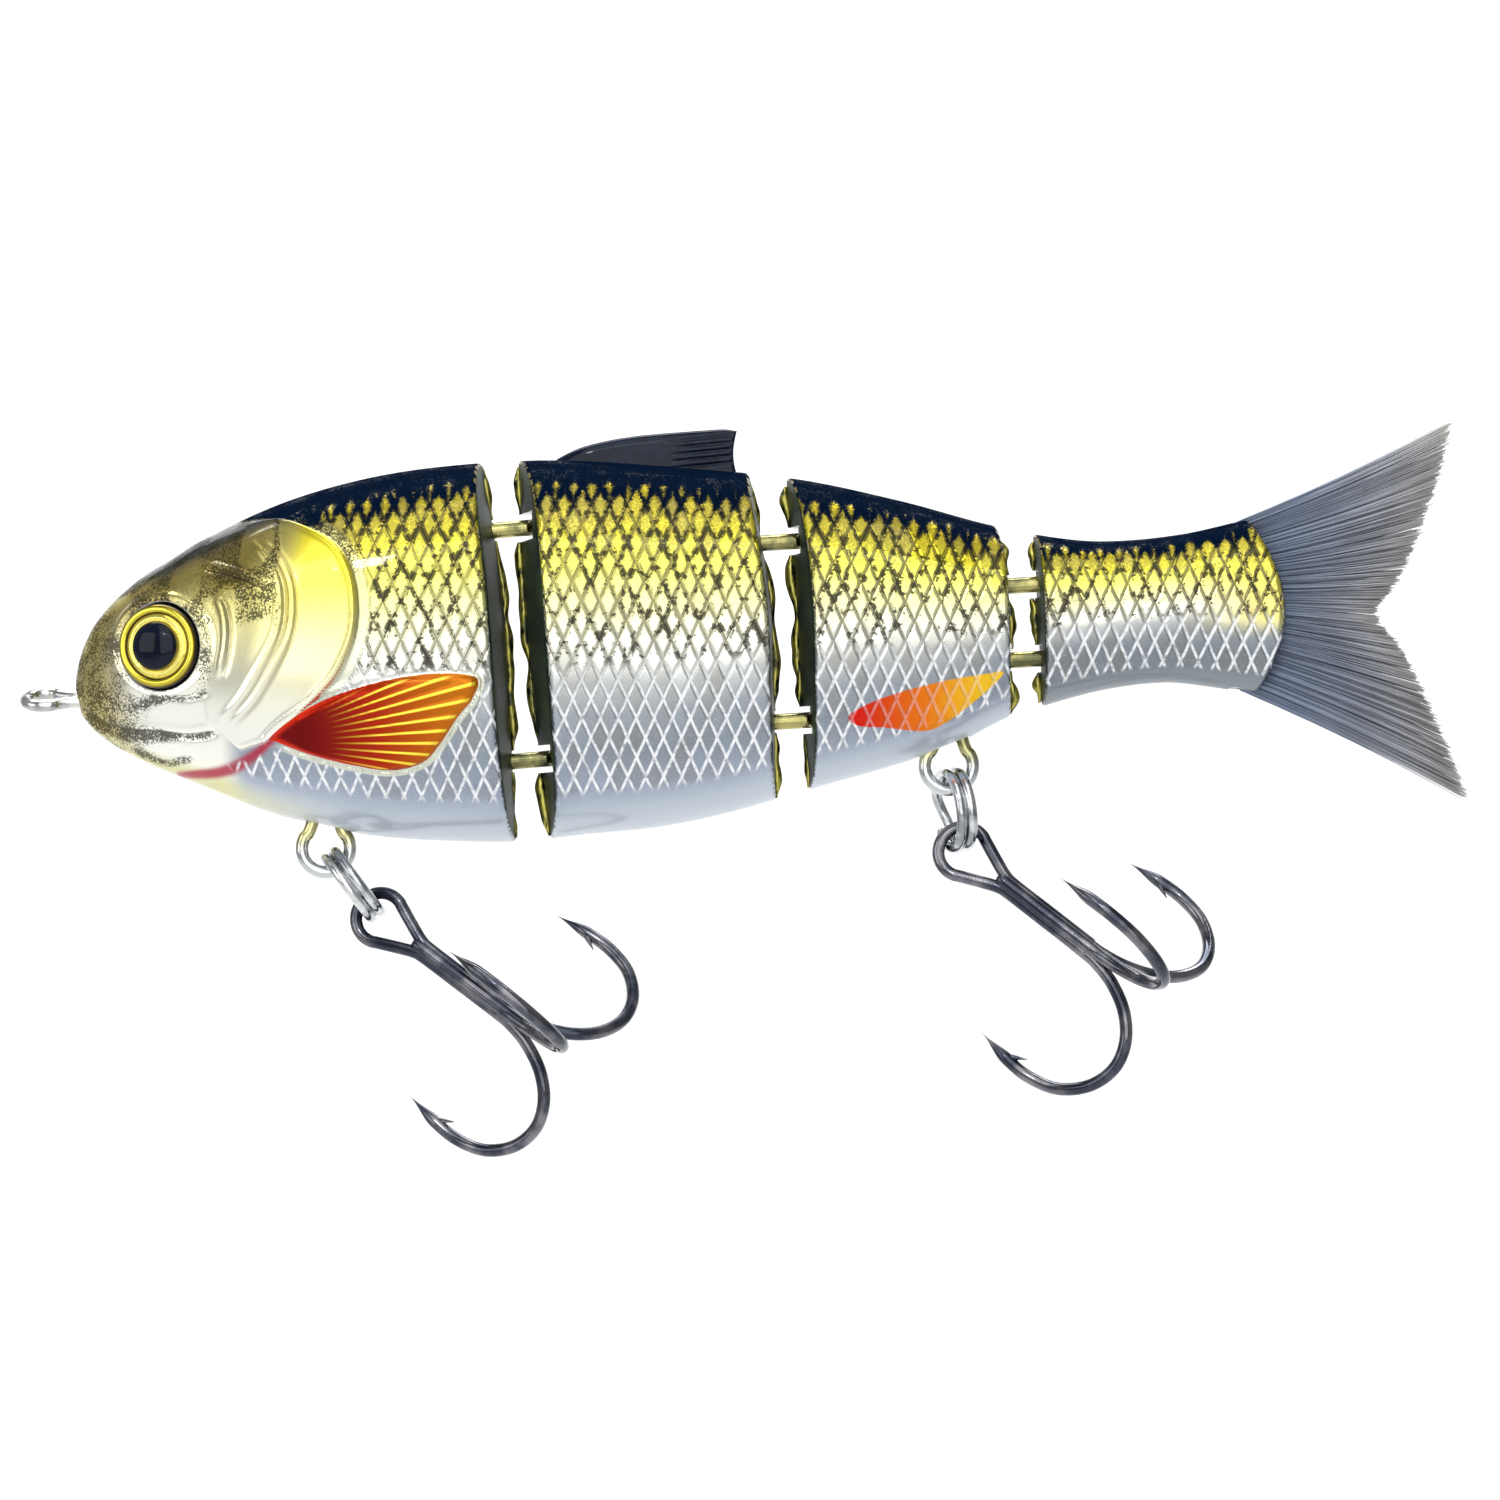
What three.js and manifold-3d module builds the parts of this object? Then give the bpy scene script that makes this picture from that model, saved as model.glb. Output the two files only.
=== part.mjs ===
// Four-section jointed swimbait, in millimetres.
// +X runs from the line tie to the tail and +Z is the back. The fish's left side faces -Y.
// The origin is the centre of the line tie's loop. Every section is two moulded half shells that meet on the
// plane y = 0.
import * as THREE from "three";
import { mergeVertices } from "three/addons/utils/BufferGeometryUtils.js";
import Module from "manifold-3d";

const wasm = await Module();
wasm.setup();

// ---- Driving dimensions -------------------------------------------------------------------------------

// The body's outline, as [x, height or half width].
const NOSE_X = 2.8;
const NOSE_Z = 0.6;
const NOSE_ROUND = 8;
const BACK = [
  [2.8, 10.3], [7, 10.8], [10.7, 12.3], [14.3, 14.5], [21.6, 17.9], [28.9, 20.1], [36.2, 21.3], [46, 21.9],
  [56, 21.4], [68.6, 20.2], [78.2, 18.2], [86, 16.1], [92, 14.9], [97, 14.5], [103.7, 15.1], [110, 16.5],
  [114, 17.4],
];
const BELLY = [
  [2.8, -4.6], [8, -5.5], [12, -6.9], [16.4, -8.7], [20.8, -10.4], [25, -11.4], [30.4, -12.5], [37, -12.95],
  [43, -13], [50, -12.3], [56, -11.7], [62, -10.5], [70.4, -8.1], [78.7, -5.7], [84, -3.7], [88, -1.7],
  [92, -0.4], [97, 0.9], [102.5, 1.55], [107, 1.1], [111, 0.45], [114, 0.2],
];
const HALF_WIDTH = [
  [2.8, 5], [6, 5.6], [10, 7], [15, 8.4], [20, 9.2], [28, 9.7], [38, 9.7], [48, 9.5], [58, 9], [68, 8.2],
  [78, 6.9], [88, 5.5], [96, 4.6], [104, 3.9], [110, 3.4], [114, 3.2],
];
const WIDEST = 0.56; // the share of the height, from the belly, where the body is widest
const BACK_POWER = 2.3; // superellipse powers of the section above and below its widest line
const BELLY_POWER = 1.9;
const AROUND = 24; // points round the section
const INSIDE_AROUND = 16;
const NOSE_STEPS = [0.03, 0.25, 0.8, 1.8, 3.2]; // sections behind the nose point, then evenly along the body
const BODY_STEPS = { from: 7.6, to: 116, count: 33 };
const WALL = 1.6;

// Each end face has a ridge on y = 0, as [z, x], and falls away from it on both sides by the bevel angle.
const END_FACES = {
  headRear: { ridge: [[-13, 43.1], [9, 42], [21.6, 40]], bevel: 7 },
  midFront: { ridge: [[-12.6, 46.2], [0, 44.6], [9, 43.8], [21.8, 43.3]], bevel: 13 },
  midRear: { ridge: [[-9.8, 66.9], [0, 66.75], [9, 66.4], [20.8, 64.4]], bevel: 3 },
  rearFront: { ridge: [[-7.3, 69.85], [0.5, 69.1], [8.6, 68.7], [19, 67.85]], bevel: 11 },
  rearRear: { ridge: [[-1, 88.35], [6.5, 88.3], [12.6, 87.9], [16, 87]], bevel: 3 },
  tailFront: { ridge: [[-0.4, 91.2], [7.5, 90.65], [15, 90.4]], bevel: 7 },
};
// The tail section ends in an arc, highest at z and falling forward by fall at half above and below.
const TAIL_END = { x: 113.4, z: 8, fall: 3, half: 7.9, low: -6, high: 22, steps: 12 };

// Hinges: the pin stands in the section behind the gap, and two wire links from the one ahead hang on it.
const HINGES = [
  { name: "front", x: 47.1, z: 5.35, tilt: 4.9, apart: 10.6, slotHalf: 5.6, pinPast: 3.2 },
  { name: "middle", x: 71.3, z: 6.45, tilt: 3.5, apart: 8.2, slotHalf: 4.2, pinPast: 3 },
  { name: "back", x: 93.2, z: 7.3, tilt: 3.4, apart: 3.4, slotHalf: 2.55, pinPast: 2.2 },
];
const PIN_R = 0.5;
const LINK_R = 0.75;
const LINK_EYE_R = 1.5;
const LINK_LONG = 12.4; // from the pin to the bent foot in the section ahead
const LINK_FOOT = 3;
const SLOT_HALF_HEIGHT = 1.25;
const SLOT_FORWARD = 8; // how far the slots are cut ahead of the pin
const CLEAR = 0.3;
const PIN_CLEAR = 0.2;
const LINK_EYE_CLEAR = 0.35;

// Wire eyes: the line tie lies almost flat, and the two hook hangers stand in the plane y = 0.
const TIE = { loopRadius: 1.75, wireRadius: 0.55, legGap: 0.7, legEnd: 10.6, roll: 20 };
const TIE_SLOT = { halfWidth: 1.6, halfHeight: 1.1 };
const HANGER = { loopRadius: 2.2, wireRadius: 0.6, legGap: 0.95, legEnd: 5.8 };

// Split rings and treble hooks. Angles are in degrees; aft is measured from straight down, in the plane y = 0.
const RIGS = [
  { name: "front", at: [25.7, -13.6], ringAft: 37, ringTwist: 4, hookAft: 54, hookLean: 16, hookRoll: -40.5 },
  { name: "rear", at: [82.7, -6.05], ringAft: 7, ringTwist: 16, hookAft: 52, hookLean: 15, hookRoll: -45.5 },
];
const RING = { radius: 3.55, wireRadius: 0.45, pitch: 1, drop: 0.5, crossing: 35 };
// The eye opens downwards by open on each side, and its wire closes in on the shank at the neck.
const TREBLE = {
  eyeRadius: 2.3, open: 60, wireRadius: 0.58, neck: 4.3, shankTop: 3.6, shankRadius: 0.98, drop: 0.5,
};
// One bend of the treble, as [distance from the shank's axis, distance from the eye's centre].
const BEND = [
  [0.5, 14.2], [0.6, 16], [1.2, 18.3], [2.6, 20.7], [4.7, 22.4], [7.3, 23], [10, 22.1], [12.1, 19.9],
  [12.95, 17.1], [12.9, 14.4],
];
const POINT = { at: [12.4, 11.1], radius: 0.05 };
const BARB = { from: [12.75, 14], to: [11.85, 15.9], radius: 0.36, tip: 0.06 };

const EYE = { x: 11.2, z: 4.75, forward: 17, radius: 3.55, socket: 4.05, sunk: 1.15, thick: 1 };
// The resin dome over it, as [share of the radius, height].
const DOME = { inset: 0.05, gap: 0.03, outline: [[0, 0], [1, 0], [0.86, 0.52], [0.55, 1.02], [0, 1.25]] };

// Outlines in side view, as [x, z].
const GILL_COVER = [
  [17.5, -5.5], [17.5, 15.6], [22.3, 16.1], [25.4, 15], [28.1, 12.5], [29.2, 9.7], [29.2, 6.4], [28.1, 3.2],
  [25.2, 0], [21.7, -3.2],
];
const PECTORAL_FIN = [
  [21.6, -3.2], [24.2, -1], [28, 0.4], [33.2, 1.8], [37.2, 2.3], [40.1, 2], [39.2, 0], [37.8, -2.3],
  [35.2, -4.9], [33.6, -5.9], [31.1, -5.9], [27, -5.6], [24, -4.7],
];
const GILL_COVER_PROUD = 0.35;
const PECTORAL_FIN_PROUD = 0.8;
const DORSAL_FIN = [
  [45.6, 22], [49.1, 23.3], [51.9, 23.9], [54.6, 24.3], [57.5, 24.5], [60.3, 24.7], [62.7, 24.7],
  [63.5, 24.2], [63.2, 23], [62.9, 22],
];
const FIN_SEAT = { half: 0.75, from: 45.9, to: 62.9, depth: 0.9 };
const FIN_TONGUE = { from: 51.4, to: 58.6, z: 18.6 };
const FAN_OUTLINE = [
  [112.5, 13.4], [111.5, 15], [110.8, 16.7], [116, 18.2], [120.5, 20.6], [124.5, 23], [128.5, 25.4],
  [128.4, 24], [127, 22.6], [127.4, 21.3], [126.2, 20.2], [127.4, 19.5], [125.6, 17.6], [126.3, 15.8],
  [124.6, 14.6], [124.8, 12.7], [122.9, 11.4], [122.7, 9.8], [121.6, 8.8], [123.1, 7.6], [123.3, 5.6],
  [125.6, 3.6], [125.3, 1], [127.4, -0.9], [127.2, -3.4], [128.8, -5.5], [129.9, -8.8], [126.5, -6.8],
  [121.5, -4.2], [117, -1.8], [111.2, 0.5], [111.9, 1.7], [112.7, 3], [113.1, 4],
];
const FAN = { half: 0.85, rootX: 107.4, rootLow: 4, rootHigh: 13.4 };
// The ferrule is a small tray round the fan's root; a pin through the tail section holds it.
const FERRULE = { wall: 0.4, floor: 0.8, long: 4, half: 1.45, low: 3.1, high: 14.3, endWall: 0.3 };
const FERRULE_ROOM = { x: [105.5, 120], half: 1.6, z: [2.4, 14.9] };
const LOCK_PIN = { x: 109, radius: 0.55, low: 0.95, high: 2.8, holeRadius: 0.85, holeLow: -3, holeHigh: 4 };

// Inside the shells: dowel pegs of the left half fit holes in the right, and round lead weights lie across.
const DOWEL = { radius: 0.9, long: 1.4, root: 2.2 };
const WEIGHTS = {
  head: { x: 30.4, z: -7.2, radius: 2.2, half: 5 },
  mid: { x: 54.3, z: -5.5, radius: 2.4, half: 4.2 },
  rear: { x: 77.3, z: -0.4, radius: 1.9, half: 2.6 },
};
// The air space of each section along x, made in steps, and the blocks of it that stay solid, as ranges along
// x and z.
const HOLLOWS = {
  head: { x: [16.5, 32], steps: 5, filled: [[[20.5, 40], [-20, -4.2]]] },
  mid: { x: [51.6, 57.2], steps: 2, filled: [[[40, 70], [-20, -2.2]], [[40, 70], [17, 30]]] },
  rear: { x: [75, 79], steps: 2, filled: [[[60, 90], [-20, 2.2]]] },
  tail: { x: [97.4, 101.4], steps: 2, filled: [] },
};

// ---- Shape helpers ------------------------------------------------------------------------------------

const rad = THREE.MathUtils.degToRad;
const vec = (x, y, z) => new THREE.Vector3(x, y, z);
const move = (x, y, z) => new THREE.Matrix4().makeTranslation(x, y, z);
const turnX = (degrees) => new THREE.Matrix4().makeRotationX(rad(degrees));
const turnY = (degrees) => new THREE.Matrix4().makeRotationY(rad(degrees));
const turnZ = (degrees) => new THREE.Matrix4().makeRotationZ(rad(degrees));
const inOrder = (...matrices) => matrices.reduce((product, m) => product.multiply(m), new THREE.Matrix4());

// A smooth curve through [x, value] points: cubic pieces whose slopes come from each point's neighbours.
function profile(points) {
  const last = points.length - 1;
  const slope = (i) => {
    const a = points[Math.max(0, i - 1)];
    const b = points[Math.min(last, i + 1)];
    return (b[1] - a[1]) / (b[0] - a[0]);
  };
  return (x) => {
    let i = 0;
    while (i < last - 1 && x > points[i + 1][0]) i += 1;
    const [x0, v0] = points[i];
    const [x1, v1] = points[i + 1];
    const step = x1 - x0;
    const t = THREE.MathUtils.clamp((x - x0) / step, 0, 1);
    const u = 1 - t;
    const bow = step * t * u * (slope(i) * u - slope(i + 1) * t);
    return v0 * u * u * (1 + 2 * t) + v1 * t * t * (3 - 2 * t) + bow;
  };
}

// A closed solid from rings of points, each ring joined to the next and the first and last capped.
function loft(rings) {
  const count = rings[0].length;
  const positions = rings.flat().flatMap((p) => [p.x, p.y, p.z]);
  const index = [];
  for (let r = 0; r < rings.length - 1; r += 1) {
    for (let i = 0; i < count; i += 1) {
      const a = r * count + i;
      const b = r * count + ((i + 1) % count);
      index.push(a, b, a + count, b, b + count, a + count);
    }
  }
  [0, rings.length - 1].forEach((r) => {
    const centre = rings[r].reduce((sum, p) => sum.add(p), vec(0, 0, 0)).divideScalar(count);
    const middle = positions.length / 3;
    positions.push(centre.x, centre.y, centre.z);
    for (let i = 0; i < count; i += 1) {
      const a = r * count + i;
      const b = r * count + ((i + 1) % count);
      index.push(...(r === 0 ? [middle, b, a] : [middle, a, b]));
    }
  });
  const geometry = new THREE.BufferGeometry();
  geometry.setAttribute("position", new THREE.Float32BufferAttribute(positions, 3));
  geometry.setIndex(index);
  return geometry;
}

function solid(geometry) {
  const bare = geometry.index ? geometry.toNonIndexed() : geometry.clone();
  bare.deleteAttribute("normal");
  bare.deleteAttribute("uv");
  const merged = mergeVertices(bare, 1e-4);
  const vertProperties = new Float32Array(merged.attributes.position.array);
  const triVerts = new Uint32Array(merged.index.array);
  const made = new wasm.Manifold(new wasm.Mesh({ numProp: 3, vertProperties, triVerts }));
  if (made.volume() > 0) return made;
  for (let i = 0; i < triVerts.length; i += 3) {
    [triVerts[i + 1], triVerts[i + 2]] = [triVerts[i + 2], triVerts[i + 1]];
  }
  return new wasm.Manifold(new wasm.Mesh({ numProp: 3, vertProperties, triVerts }));
}

function geometryOf(made) {
  const { vertProperties, triVerts } = made.getMesh();
  const geometry = new THREE.BufferGeometry();
  geometry.setAttribute("position", new THREE.BufferAttribute(vertProperties, 3));
  geometry.setIndex(new THREE.BufferAttribute(triVerts, 1));
  return geometry.toNonIndexed();
}

const joined = (geometries) => geometries.map(solid).reduce((sum, s) => sum.add(s));

function block([x0, x1], [y0, y1], [z0, z1]) {
  const geometry = new THREE.BoxGeometry(x1 - x0, y1 - y0, z1 - z0);
  return geometry.translate((x0 + x1) / 2, (y0 + y1) / 2, (z0 + z1) / 2);
}

// A round bar from one point to another, with the radius at each end.
function bar(from, to, radius, endRadius = radius, sides = 8) {
  const along = to.clone().sub(from);
  const geometry = new THREE.CylinderGeometry(endRadius, radius, along.length(), sides);
  const turn = new THREE.Quaternion().setFromUnitVectors(vec(0, 1, 0), along.clone().normalize());
  const middle = from.clone().addScaledVector(along, 0.5);
  return geometry.applyQuaternion(turn).translate(middle.x, middle.y, middle.z);
}

// Round wire bent through a list of points.
function wire(points, radius, steps, sides = 8) {
  const corners = Array.from({ length: sides }, (_, i) => {
    const angle = (2 * Math.PI * (i + 0.5)) / sides;
    return new THREE.Vector2(radius * Math.cos(angle), radius * Math.sin(angle));
  });
  const extrudePath = new THREE.CatmullRomCurve3(points, false, "centripetal");
  return new THREE.ExtrudeGeometry(new THREE.Shape(corners), { steps, extrudePath, bevelEnabled: false });
}

// A flat plate: an outline of [x, z] points, from y = -half to y = half.
function plate(outline, half) {
  const shape = new THREE.Shape(outline.map(([x, z]) => new THREE.Vector2(x, z)));
  const geometry = new THREE.ExtrudeGeometry(shape, { depth: 2 * half, bevelEnabled: false });
  return geometry.rotateX(Math.PI / 2).translate(0, half, 0);
}

// ---- The body's form ----------------------------------------------------------------------------------

const back = profile(BACK);
const belly = profile(BELLY);
const halfWidth = profile(HALF_WIDTH);

// The nose is blunt: heights and widths grow from the nose point as a quarter circle does.
function noseGrowth(x) {
  const u = THREE.MathUtils.clamp((x - NOSE_X) / NOSE_ROUND, 0, 1);
  return Math.sqrt(1 - (1 - u) ** 2);
}

// The body's section at x: a superellipse, fuller above its widest line than below, taken in by inset.
function bodyRing(x, around, inset = 0) {
  const grow = noseGrowth(x);
  const top = NOSE_Z + (back(x) - NOSE_Z) * grow - inset;
  const bottom = NOSE_Z + (belly(x) - NOSE_Z) * grow + inset;
  const half = halfWidth(x) * grow - inset;
  const middle = bottom + (top - bottom) * WIDEST;
  return Array.from({ length: around }, (_, i) => {
    const up = Math.cos((2 * Math.PI * i) / around);
    const out = Math.sin((2 * Math.PI * i) / around);
    const power = 2 / (up >= 0 ? BACK_POWER : BELLY_POWER);
    const reach = up >= 0 ? top - middle : middle - bottom;
    const y = half * Math.sign(out) * Math.abs(out) ** power;
    return vec(x, y, middle + reach * Math.sign(up) * Math.abs(up) ** power);
  });
}

function bodyRings(from, to, steps, around, inset) {
  const stations = Array.from({ length: steps + 1 }, (_, i) => from + ((to - from) * i) / steps);
  return stations.map((x) => bodyRing(x, around, inset));
}

const noseRings = NOSE_STEPS.map((behind) => bodyRing(NOSE_X + behind, AROUND));
const restRings = bodyRings(BODY_STEPS.from, BODY_STEPS.to, BODY_STEPS.count, AROUND);
const OUTSIDE = solid(loft([...noseRings, ...restRings]));

// Cuts are made with blocks that reach far beyond the body.
const FAR = 30;
const FRONT_FAR = -20;
const REAR_FAR = 150;

// Everything beyond an end face.
function beyond(face, isFront) {
  const ridge = profile(face.ridge);
  const fall = Math.tan(rad(face.bevel)) * FAR * (isFront ? 1 : -1);
  const farX = isFront ? FRONT_FAR : REAR_FAR;
  const levels = [-FAR, ...face.ridge.map(([z]) => z), FAR];
  const rings = levels.map((z) => {
    const x = ridge(z);
    const corners = [[x, 0], [x + fall, -FAR], [farX, -FAR], [farX, FAR], [x + fall, FAR]];
    return corners.map(([cornerX, cornerY]) => vec(cornerX, cornerY, z));
  });
  return solid(loft(rings));
}

function beyondTail() {
  const { low, high, steps } = TAIL_END;
  const arc = Array.from({ length: steps + 1 }, (_, i) => {
    const z = low + ((high - low) * i) / steps;
    return [TAIL_END.x - TAIL_END.fall * ((z - TAIL_END.z) / TAIL_END.half) ** 2, z];
  });
  return solid(plate([...arc, [REAR_FAR, high], [REAR_FAR, low]], FAR));
}

// ---- Room that the shells leave for the hardware ------------------------------------------------------

// A hinge's own frame has its pin on the z axis and its links running forward, towards -x.
const hingeFrame = (hinge) => inOrder(move(hinge.x, 0, hinge.z), turnY(-hinge.tilt));
const LEVELS = [["upper", 1], ["lower", -1]];

function linkRoom(hinge) {
  const w = LINK_R + CLEAR;
  const rooms = LEVELS.flatMap(([, sign]) => {
    const z = sign * hinge.apart;
    const foot = [z, z - sign * (LINK_FOOT + CLEAR)].sort((a, b) => a - b);
    return [
      block([-LINK_LONG - w, 0], [-w, w], [z - w, z + w]),
      block([-LINK_LONG - w, -LINK_LONG + w], [-w, w], foot),
    ];
  });
  return joined(rooms).transform(hingeFrame(hinge).elements);
}

function pinRoom(hinge) {
  const w = PIN_R + PIN_CLEAR;
  const end = hinge.apart + hinge.pinPast + CLEAR;
  const behind = LINK_EYE_R + LINK_R + LINK_EYE_CLEAR;
  const slots = LEVELS.map(([, sign]) => {
    const z = sign * hinge.apart;
    const heights = [z - SLOT_HALF_HEIGHT, z + SLOT_HALF_HEIGHT];
    return block([-SLOT_FORWARD, behind], [-hinge.slotHalf, hinge.slotHalf], heights);
  });
  return joined([block([-w, w], [-w, w], [-end, end]), ...slots]).transform(hingeFrame(hinge).elements);
}

function hangerRoom({ at: [x, z] }) {
  const w = HANGER.wireRadius + CLEAR;
  const half = HANGER.legGap + w;
  const round = HANGER.loopRadius + w;
  return joined([
    block([x - half, x + half], [-w, w], [z - HANGER.legGap, z + HANGER.legEnd + CLEAR]),
    bar(vec(x, -w, z), vec(x, w, z), round, round, 20),
  ]);
}

const slug = (x, z, radius, half) => bar(vec(x, -half, z), vec(x, half, z), radius, radius, 12);

const finSeatZ = (x) => back(x) - FIN_SEAT.depth;

function finRoom() {
  const half = FIN_SEAT.half + CLEAR;
  const from = FIN_SEAT.from - CLEAR;
  const to = FIN_SEAT.to + CLEAR;
  const seat = [from, 52, 58, to].map((x) => [x, finSeatZ(x) - CLEAR]);
  return joined([
    plate([...seat, [to, FAR], [from, FAR]], half),
    block([FIN_TONGUE.from - CLEAR, FIN_TONGUE.to + CLEAR], [-half, half], [FIN_TONGUE.z - CLEAR, FAR - 1]),
  ]);
}

// The eye looks a little forward. Its seat is the middle of the disc's back.
const eyeAxis = (side) => vec(-Math.sin(rad(EYE.forward)), side * Math.cos(rad(EYE.forward)), 0);

function eyeSeat(side) {
  const cheek = bodyRing(EYE.x, 180).filter((p) => p.y * side > 0);
  const nearest = cheek.reduce((best, p) => (Math.abs(p.z - EYE.z) < Math.abs(best.z - EYE.z) ? p : best));
  return vec(EYE.x, nearest.y, EYE.z).addScaledVector(eyeAxis(side), -EYE.sunk);
}

function eyeSocket(side) {
  const from = eyeSeat(side).addScaledVector(eyeAxis(side), -CLEAR);
  return solid(bar(from, from.clone().addScaledVector(eyeAxis(side), 8), EYE.socket, EYE.socket, 20));
}

// ---- The shells ---------------------------------------------------------------------------------------

const PAINTED = { color: 0xb9ab4e, roughness: 0.22, metalness: 0.8 };
const STEEL = { color: 0xc8c8c4, roughness: 0.2, metalness: 1 };
const BLACK_NICKEL = { color: 0x3c3e46, roughness: 0.22, metalness: 1 };
const LEAD = { color: 0x6d7076, roughness: 0.6, metalness: 0.8 };
const FIN_PLASTIC = { color: 0x14161f, roughness: 0.25, metalness: 0 };
const BRISTLE = { color: 0x6f6c62, roughness: 0.7, metalness: 0 };
const EYE_FOIL = { color: 0xb08d3a, roughness: 0.3, metalness: 0.9 };
const EYE_RESIN = { color: 0x10131f, roughness: 0.05, metalness: 0 };

const swimbait = new THREE.Group();

function add(name, geometry, look) {
  const mesh = new THREE.Mesh(geometry, new THREE.MeshStandardMaterial(look));
  mesh.name = name;
  swimbait.add(mesh);
}

// What stands proud of the flank on both sides of the head, as a thickness over the body's form.
function relief(outline, height) {
  const grown = solid(loft(bodyRings(8, 45, 12, AROUND, -height)));
  return solid(plate(outline, FAR)).intersect(grown);
}

const slugRoom = ({ x, z, radius, half }) => solid(slug(x, z, radius + CLEAR, half + CLEAR));
const WIDE = [-FAR, FAR];

function hollow(name) {
  const { x: [from, to], steps, filled } = HOLLOWS[name];
  const space = solid(loft(bodyRings(from, to, steps, INSIDE_AROUND, WALL)));
  return filled.reduce((rest, [alongX, alongZ]) => rest.subtract(solid(block(alongX, WIDE, alongZ))), space);
}

const tieSlot = [[-TIE_SLOT.halfWidth, TIE_SLOT.halfWidth], [-TIE_SLOT.halfHeight, TIE_SLOT.halfHeight]];
const ferruleWidth = [-FERRULE_ROOM.half, FERRULE_ROOM.half];
const lockPinHole = [LOCK_PIN.holeLow, LOCK_PIN.holeHigh].map((z) => vec(LOCK_PIN.x, 0, z));
const SECTIONS = [
  {
    name: "head",
    ends: [beyond(END_FACES.headRear, false)],
    dowels: [[11, 9.8], [35.5, 4.5]],
    rooms: [
      linkRoom(HINGES[0]),
      hangerRoom(RIGS[0]),
      slugRoom(WEIGHTS.head),
      solid(block([0, TIE.legEnd + CLEAR], ...tieSlot)),
    ],
  },
  {
    name: "mid",
    ends: [beyond(END_FACES.midFront, true), beyond(END_FACES.midRear, false)],
    dowels: [[63.4, 17.6], [50, 5]],
    rooms: [pinRoom(HINGES[0]), linkRoom(HINGES[1]), finRoom(), slugRoom(WEIGHTS.mid)],
  },
  {
    name: "rear",
    ends: [beyond(END_FACES.rearFront, true), beyond(END_FACES.rearRear, false)],
    dowels: [[84.6, 7.2], [73.4, 6]],
    rooms: [pinRoom(HINGES[1]), linkRoom(HINGES[2]), hangerRoom(RIGS[1]), slugRoom(WEIGHTS.rear)],
  },
  {
    name: "tail",
    ends: [beyond(END_FACES.tailFront, true), beyondTail()],
    dowels: [[103.4, 4.4], [103.4, 12]],
    rooms: [
      pinRoom(HINGES[2]),
      solid(block(FERRULE_ROOM.x, ferruleWidth, FERRULE_ROOM.z)),
      solid(bar(...lockPinHole, LOCK_PIN.holeRadius)),
    ],
  },
];

SECTIONS.forEach(({ name, ends, dowels, rooms }) => {
  let form = OUTSIDE;
  if (name === "head") {
    form = form.add(relief(GILL_COVER, GILL_COVER_PROUD)).add(relief(PECTORAL_FIN, PECTORAL_FIN_PROUD));
  }
  [...ends, hollow(name), ...rooms].forEach((cut) => {
    form = form.subtract(cut);
  });
  [["left", -1], ["right", 1]].forEach(([side, sign]) => {
    const sideRange = [0, sign * FAR].sort((a, b) => a - b);
    let shell = form.intersect(solid(block([FRONT_FAR, REAR_FAR], sideRange, WIDE)));
    if (name === "head") shell = shell.subtract(eyeSocket(sign));
    dowels.forEach(([x, z]) => {
      const peg = bar(vec(x, -DOWEL.root, z), vec(x, DOWEL.long, z), DOWEL.radius);
      const hole = bar(vec(x, -1, z), vec(x, DOWEL.long + CLEAR, z), DOWEL.radius + CLEAR);
      shell = sign < 0 ? shell.add(solid(peg)) : shell.subtract(solid(hole));
    });
    add(`${name}_shell_${side}`, geometryOf(shell), PAINTED);
  });
});

// ---- Hinges -------------------------------------------------------------------------------------------

HINGES.forEach((hinge) => {
  LEVELS.forEach(([level, sign]) => {
    const z = sign * hinge.apart;
    const link = joined([
      new THREE.TorusGeometry(LINK_EYE_R, LINK_R, 6, 12).translate(0, 0, z),
      bar(vec(-LINK_LONG - LINK_R, 0, z), vec(-LINK_EYE_R, 0, z), LINK_R),
      bar(vec(-LINK_LONG, 0, z), vec(-LINK_LONG, 0, z - sign * LINK_FOOT), LINK_R * 0.98),
    ]);
    const placed = link.transform(hingeFrame(hinge).elements);
    add(`${hinge.name}_hinge_link_${level}`, geometryOf(placed), STEEL);
  });
  const reach = hinge.apart + hinge.pinPast;
  const pin = bar(vec(0, 0, -reach), vec(0, 0, reach), PIN_R).applyMatrix4(hingeFrame(hinge));
  add(`${hinge.name}_hinge_pin`, pin, STEEL);
});

// ---- Wire eyes, rings and hooks -----------------------------------------------------------------------

// A loop round the origin that opens upwards into two legs side by side.
function wireEye({ loopRadius, wireRadius, legGap, legEnd }) {
  const open = Math.asin(legGap / loopRadius) + 0.3;
  const loop = Array.from({ length: 11 }, (_, i) => {
    const angle = open + ((2 * Math.PI - 2 * open) * i) / 10;
    return vec(-loopRadius * Math.sin(angle), 0, loopRadius * Math.cos(angle));
  });
  const knee = loopRadius + 1.3;
  const legs = [-1, 1].map((s) => [vec(s * legGap, 0, legEnd), vec(s * legGap, 0, knee)]);
  return wire([...legs[0], ...loop, legs[1][1], legs[1][0]], wireRadius, 28, 7);
}

const towardsTail = new THREE.Matrix4().makeBasis(vec(0, 1, 0), vec(0, 0, 1), vec(1, 0, 0));
add("line_tie", wireEye(TIE).applyMatrix4(inOrder(turnX(TIE.roll), towardsTail)), STEEL);

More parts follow.
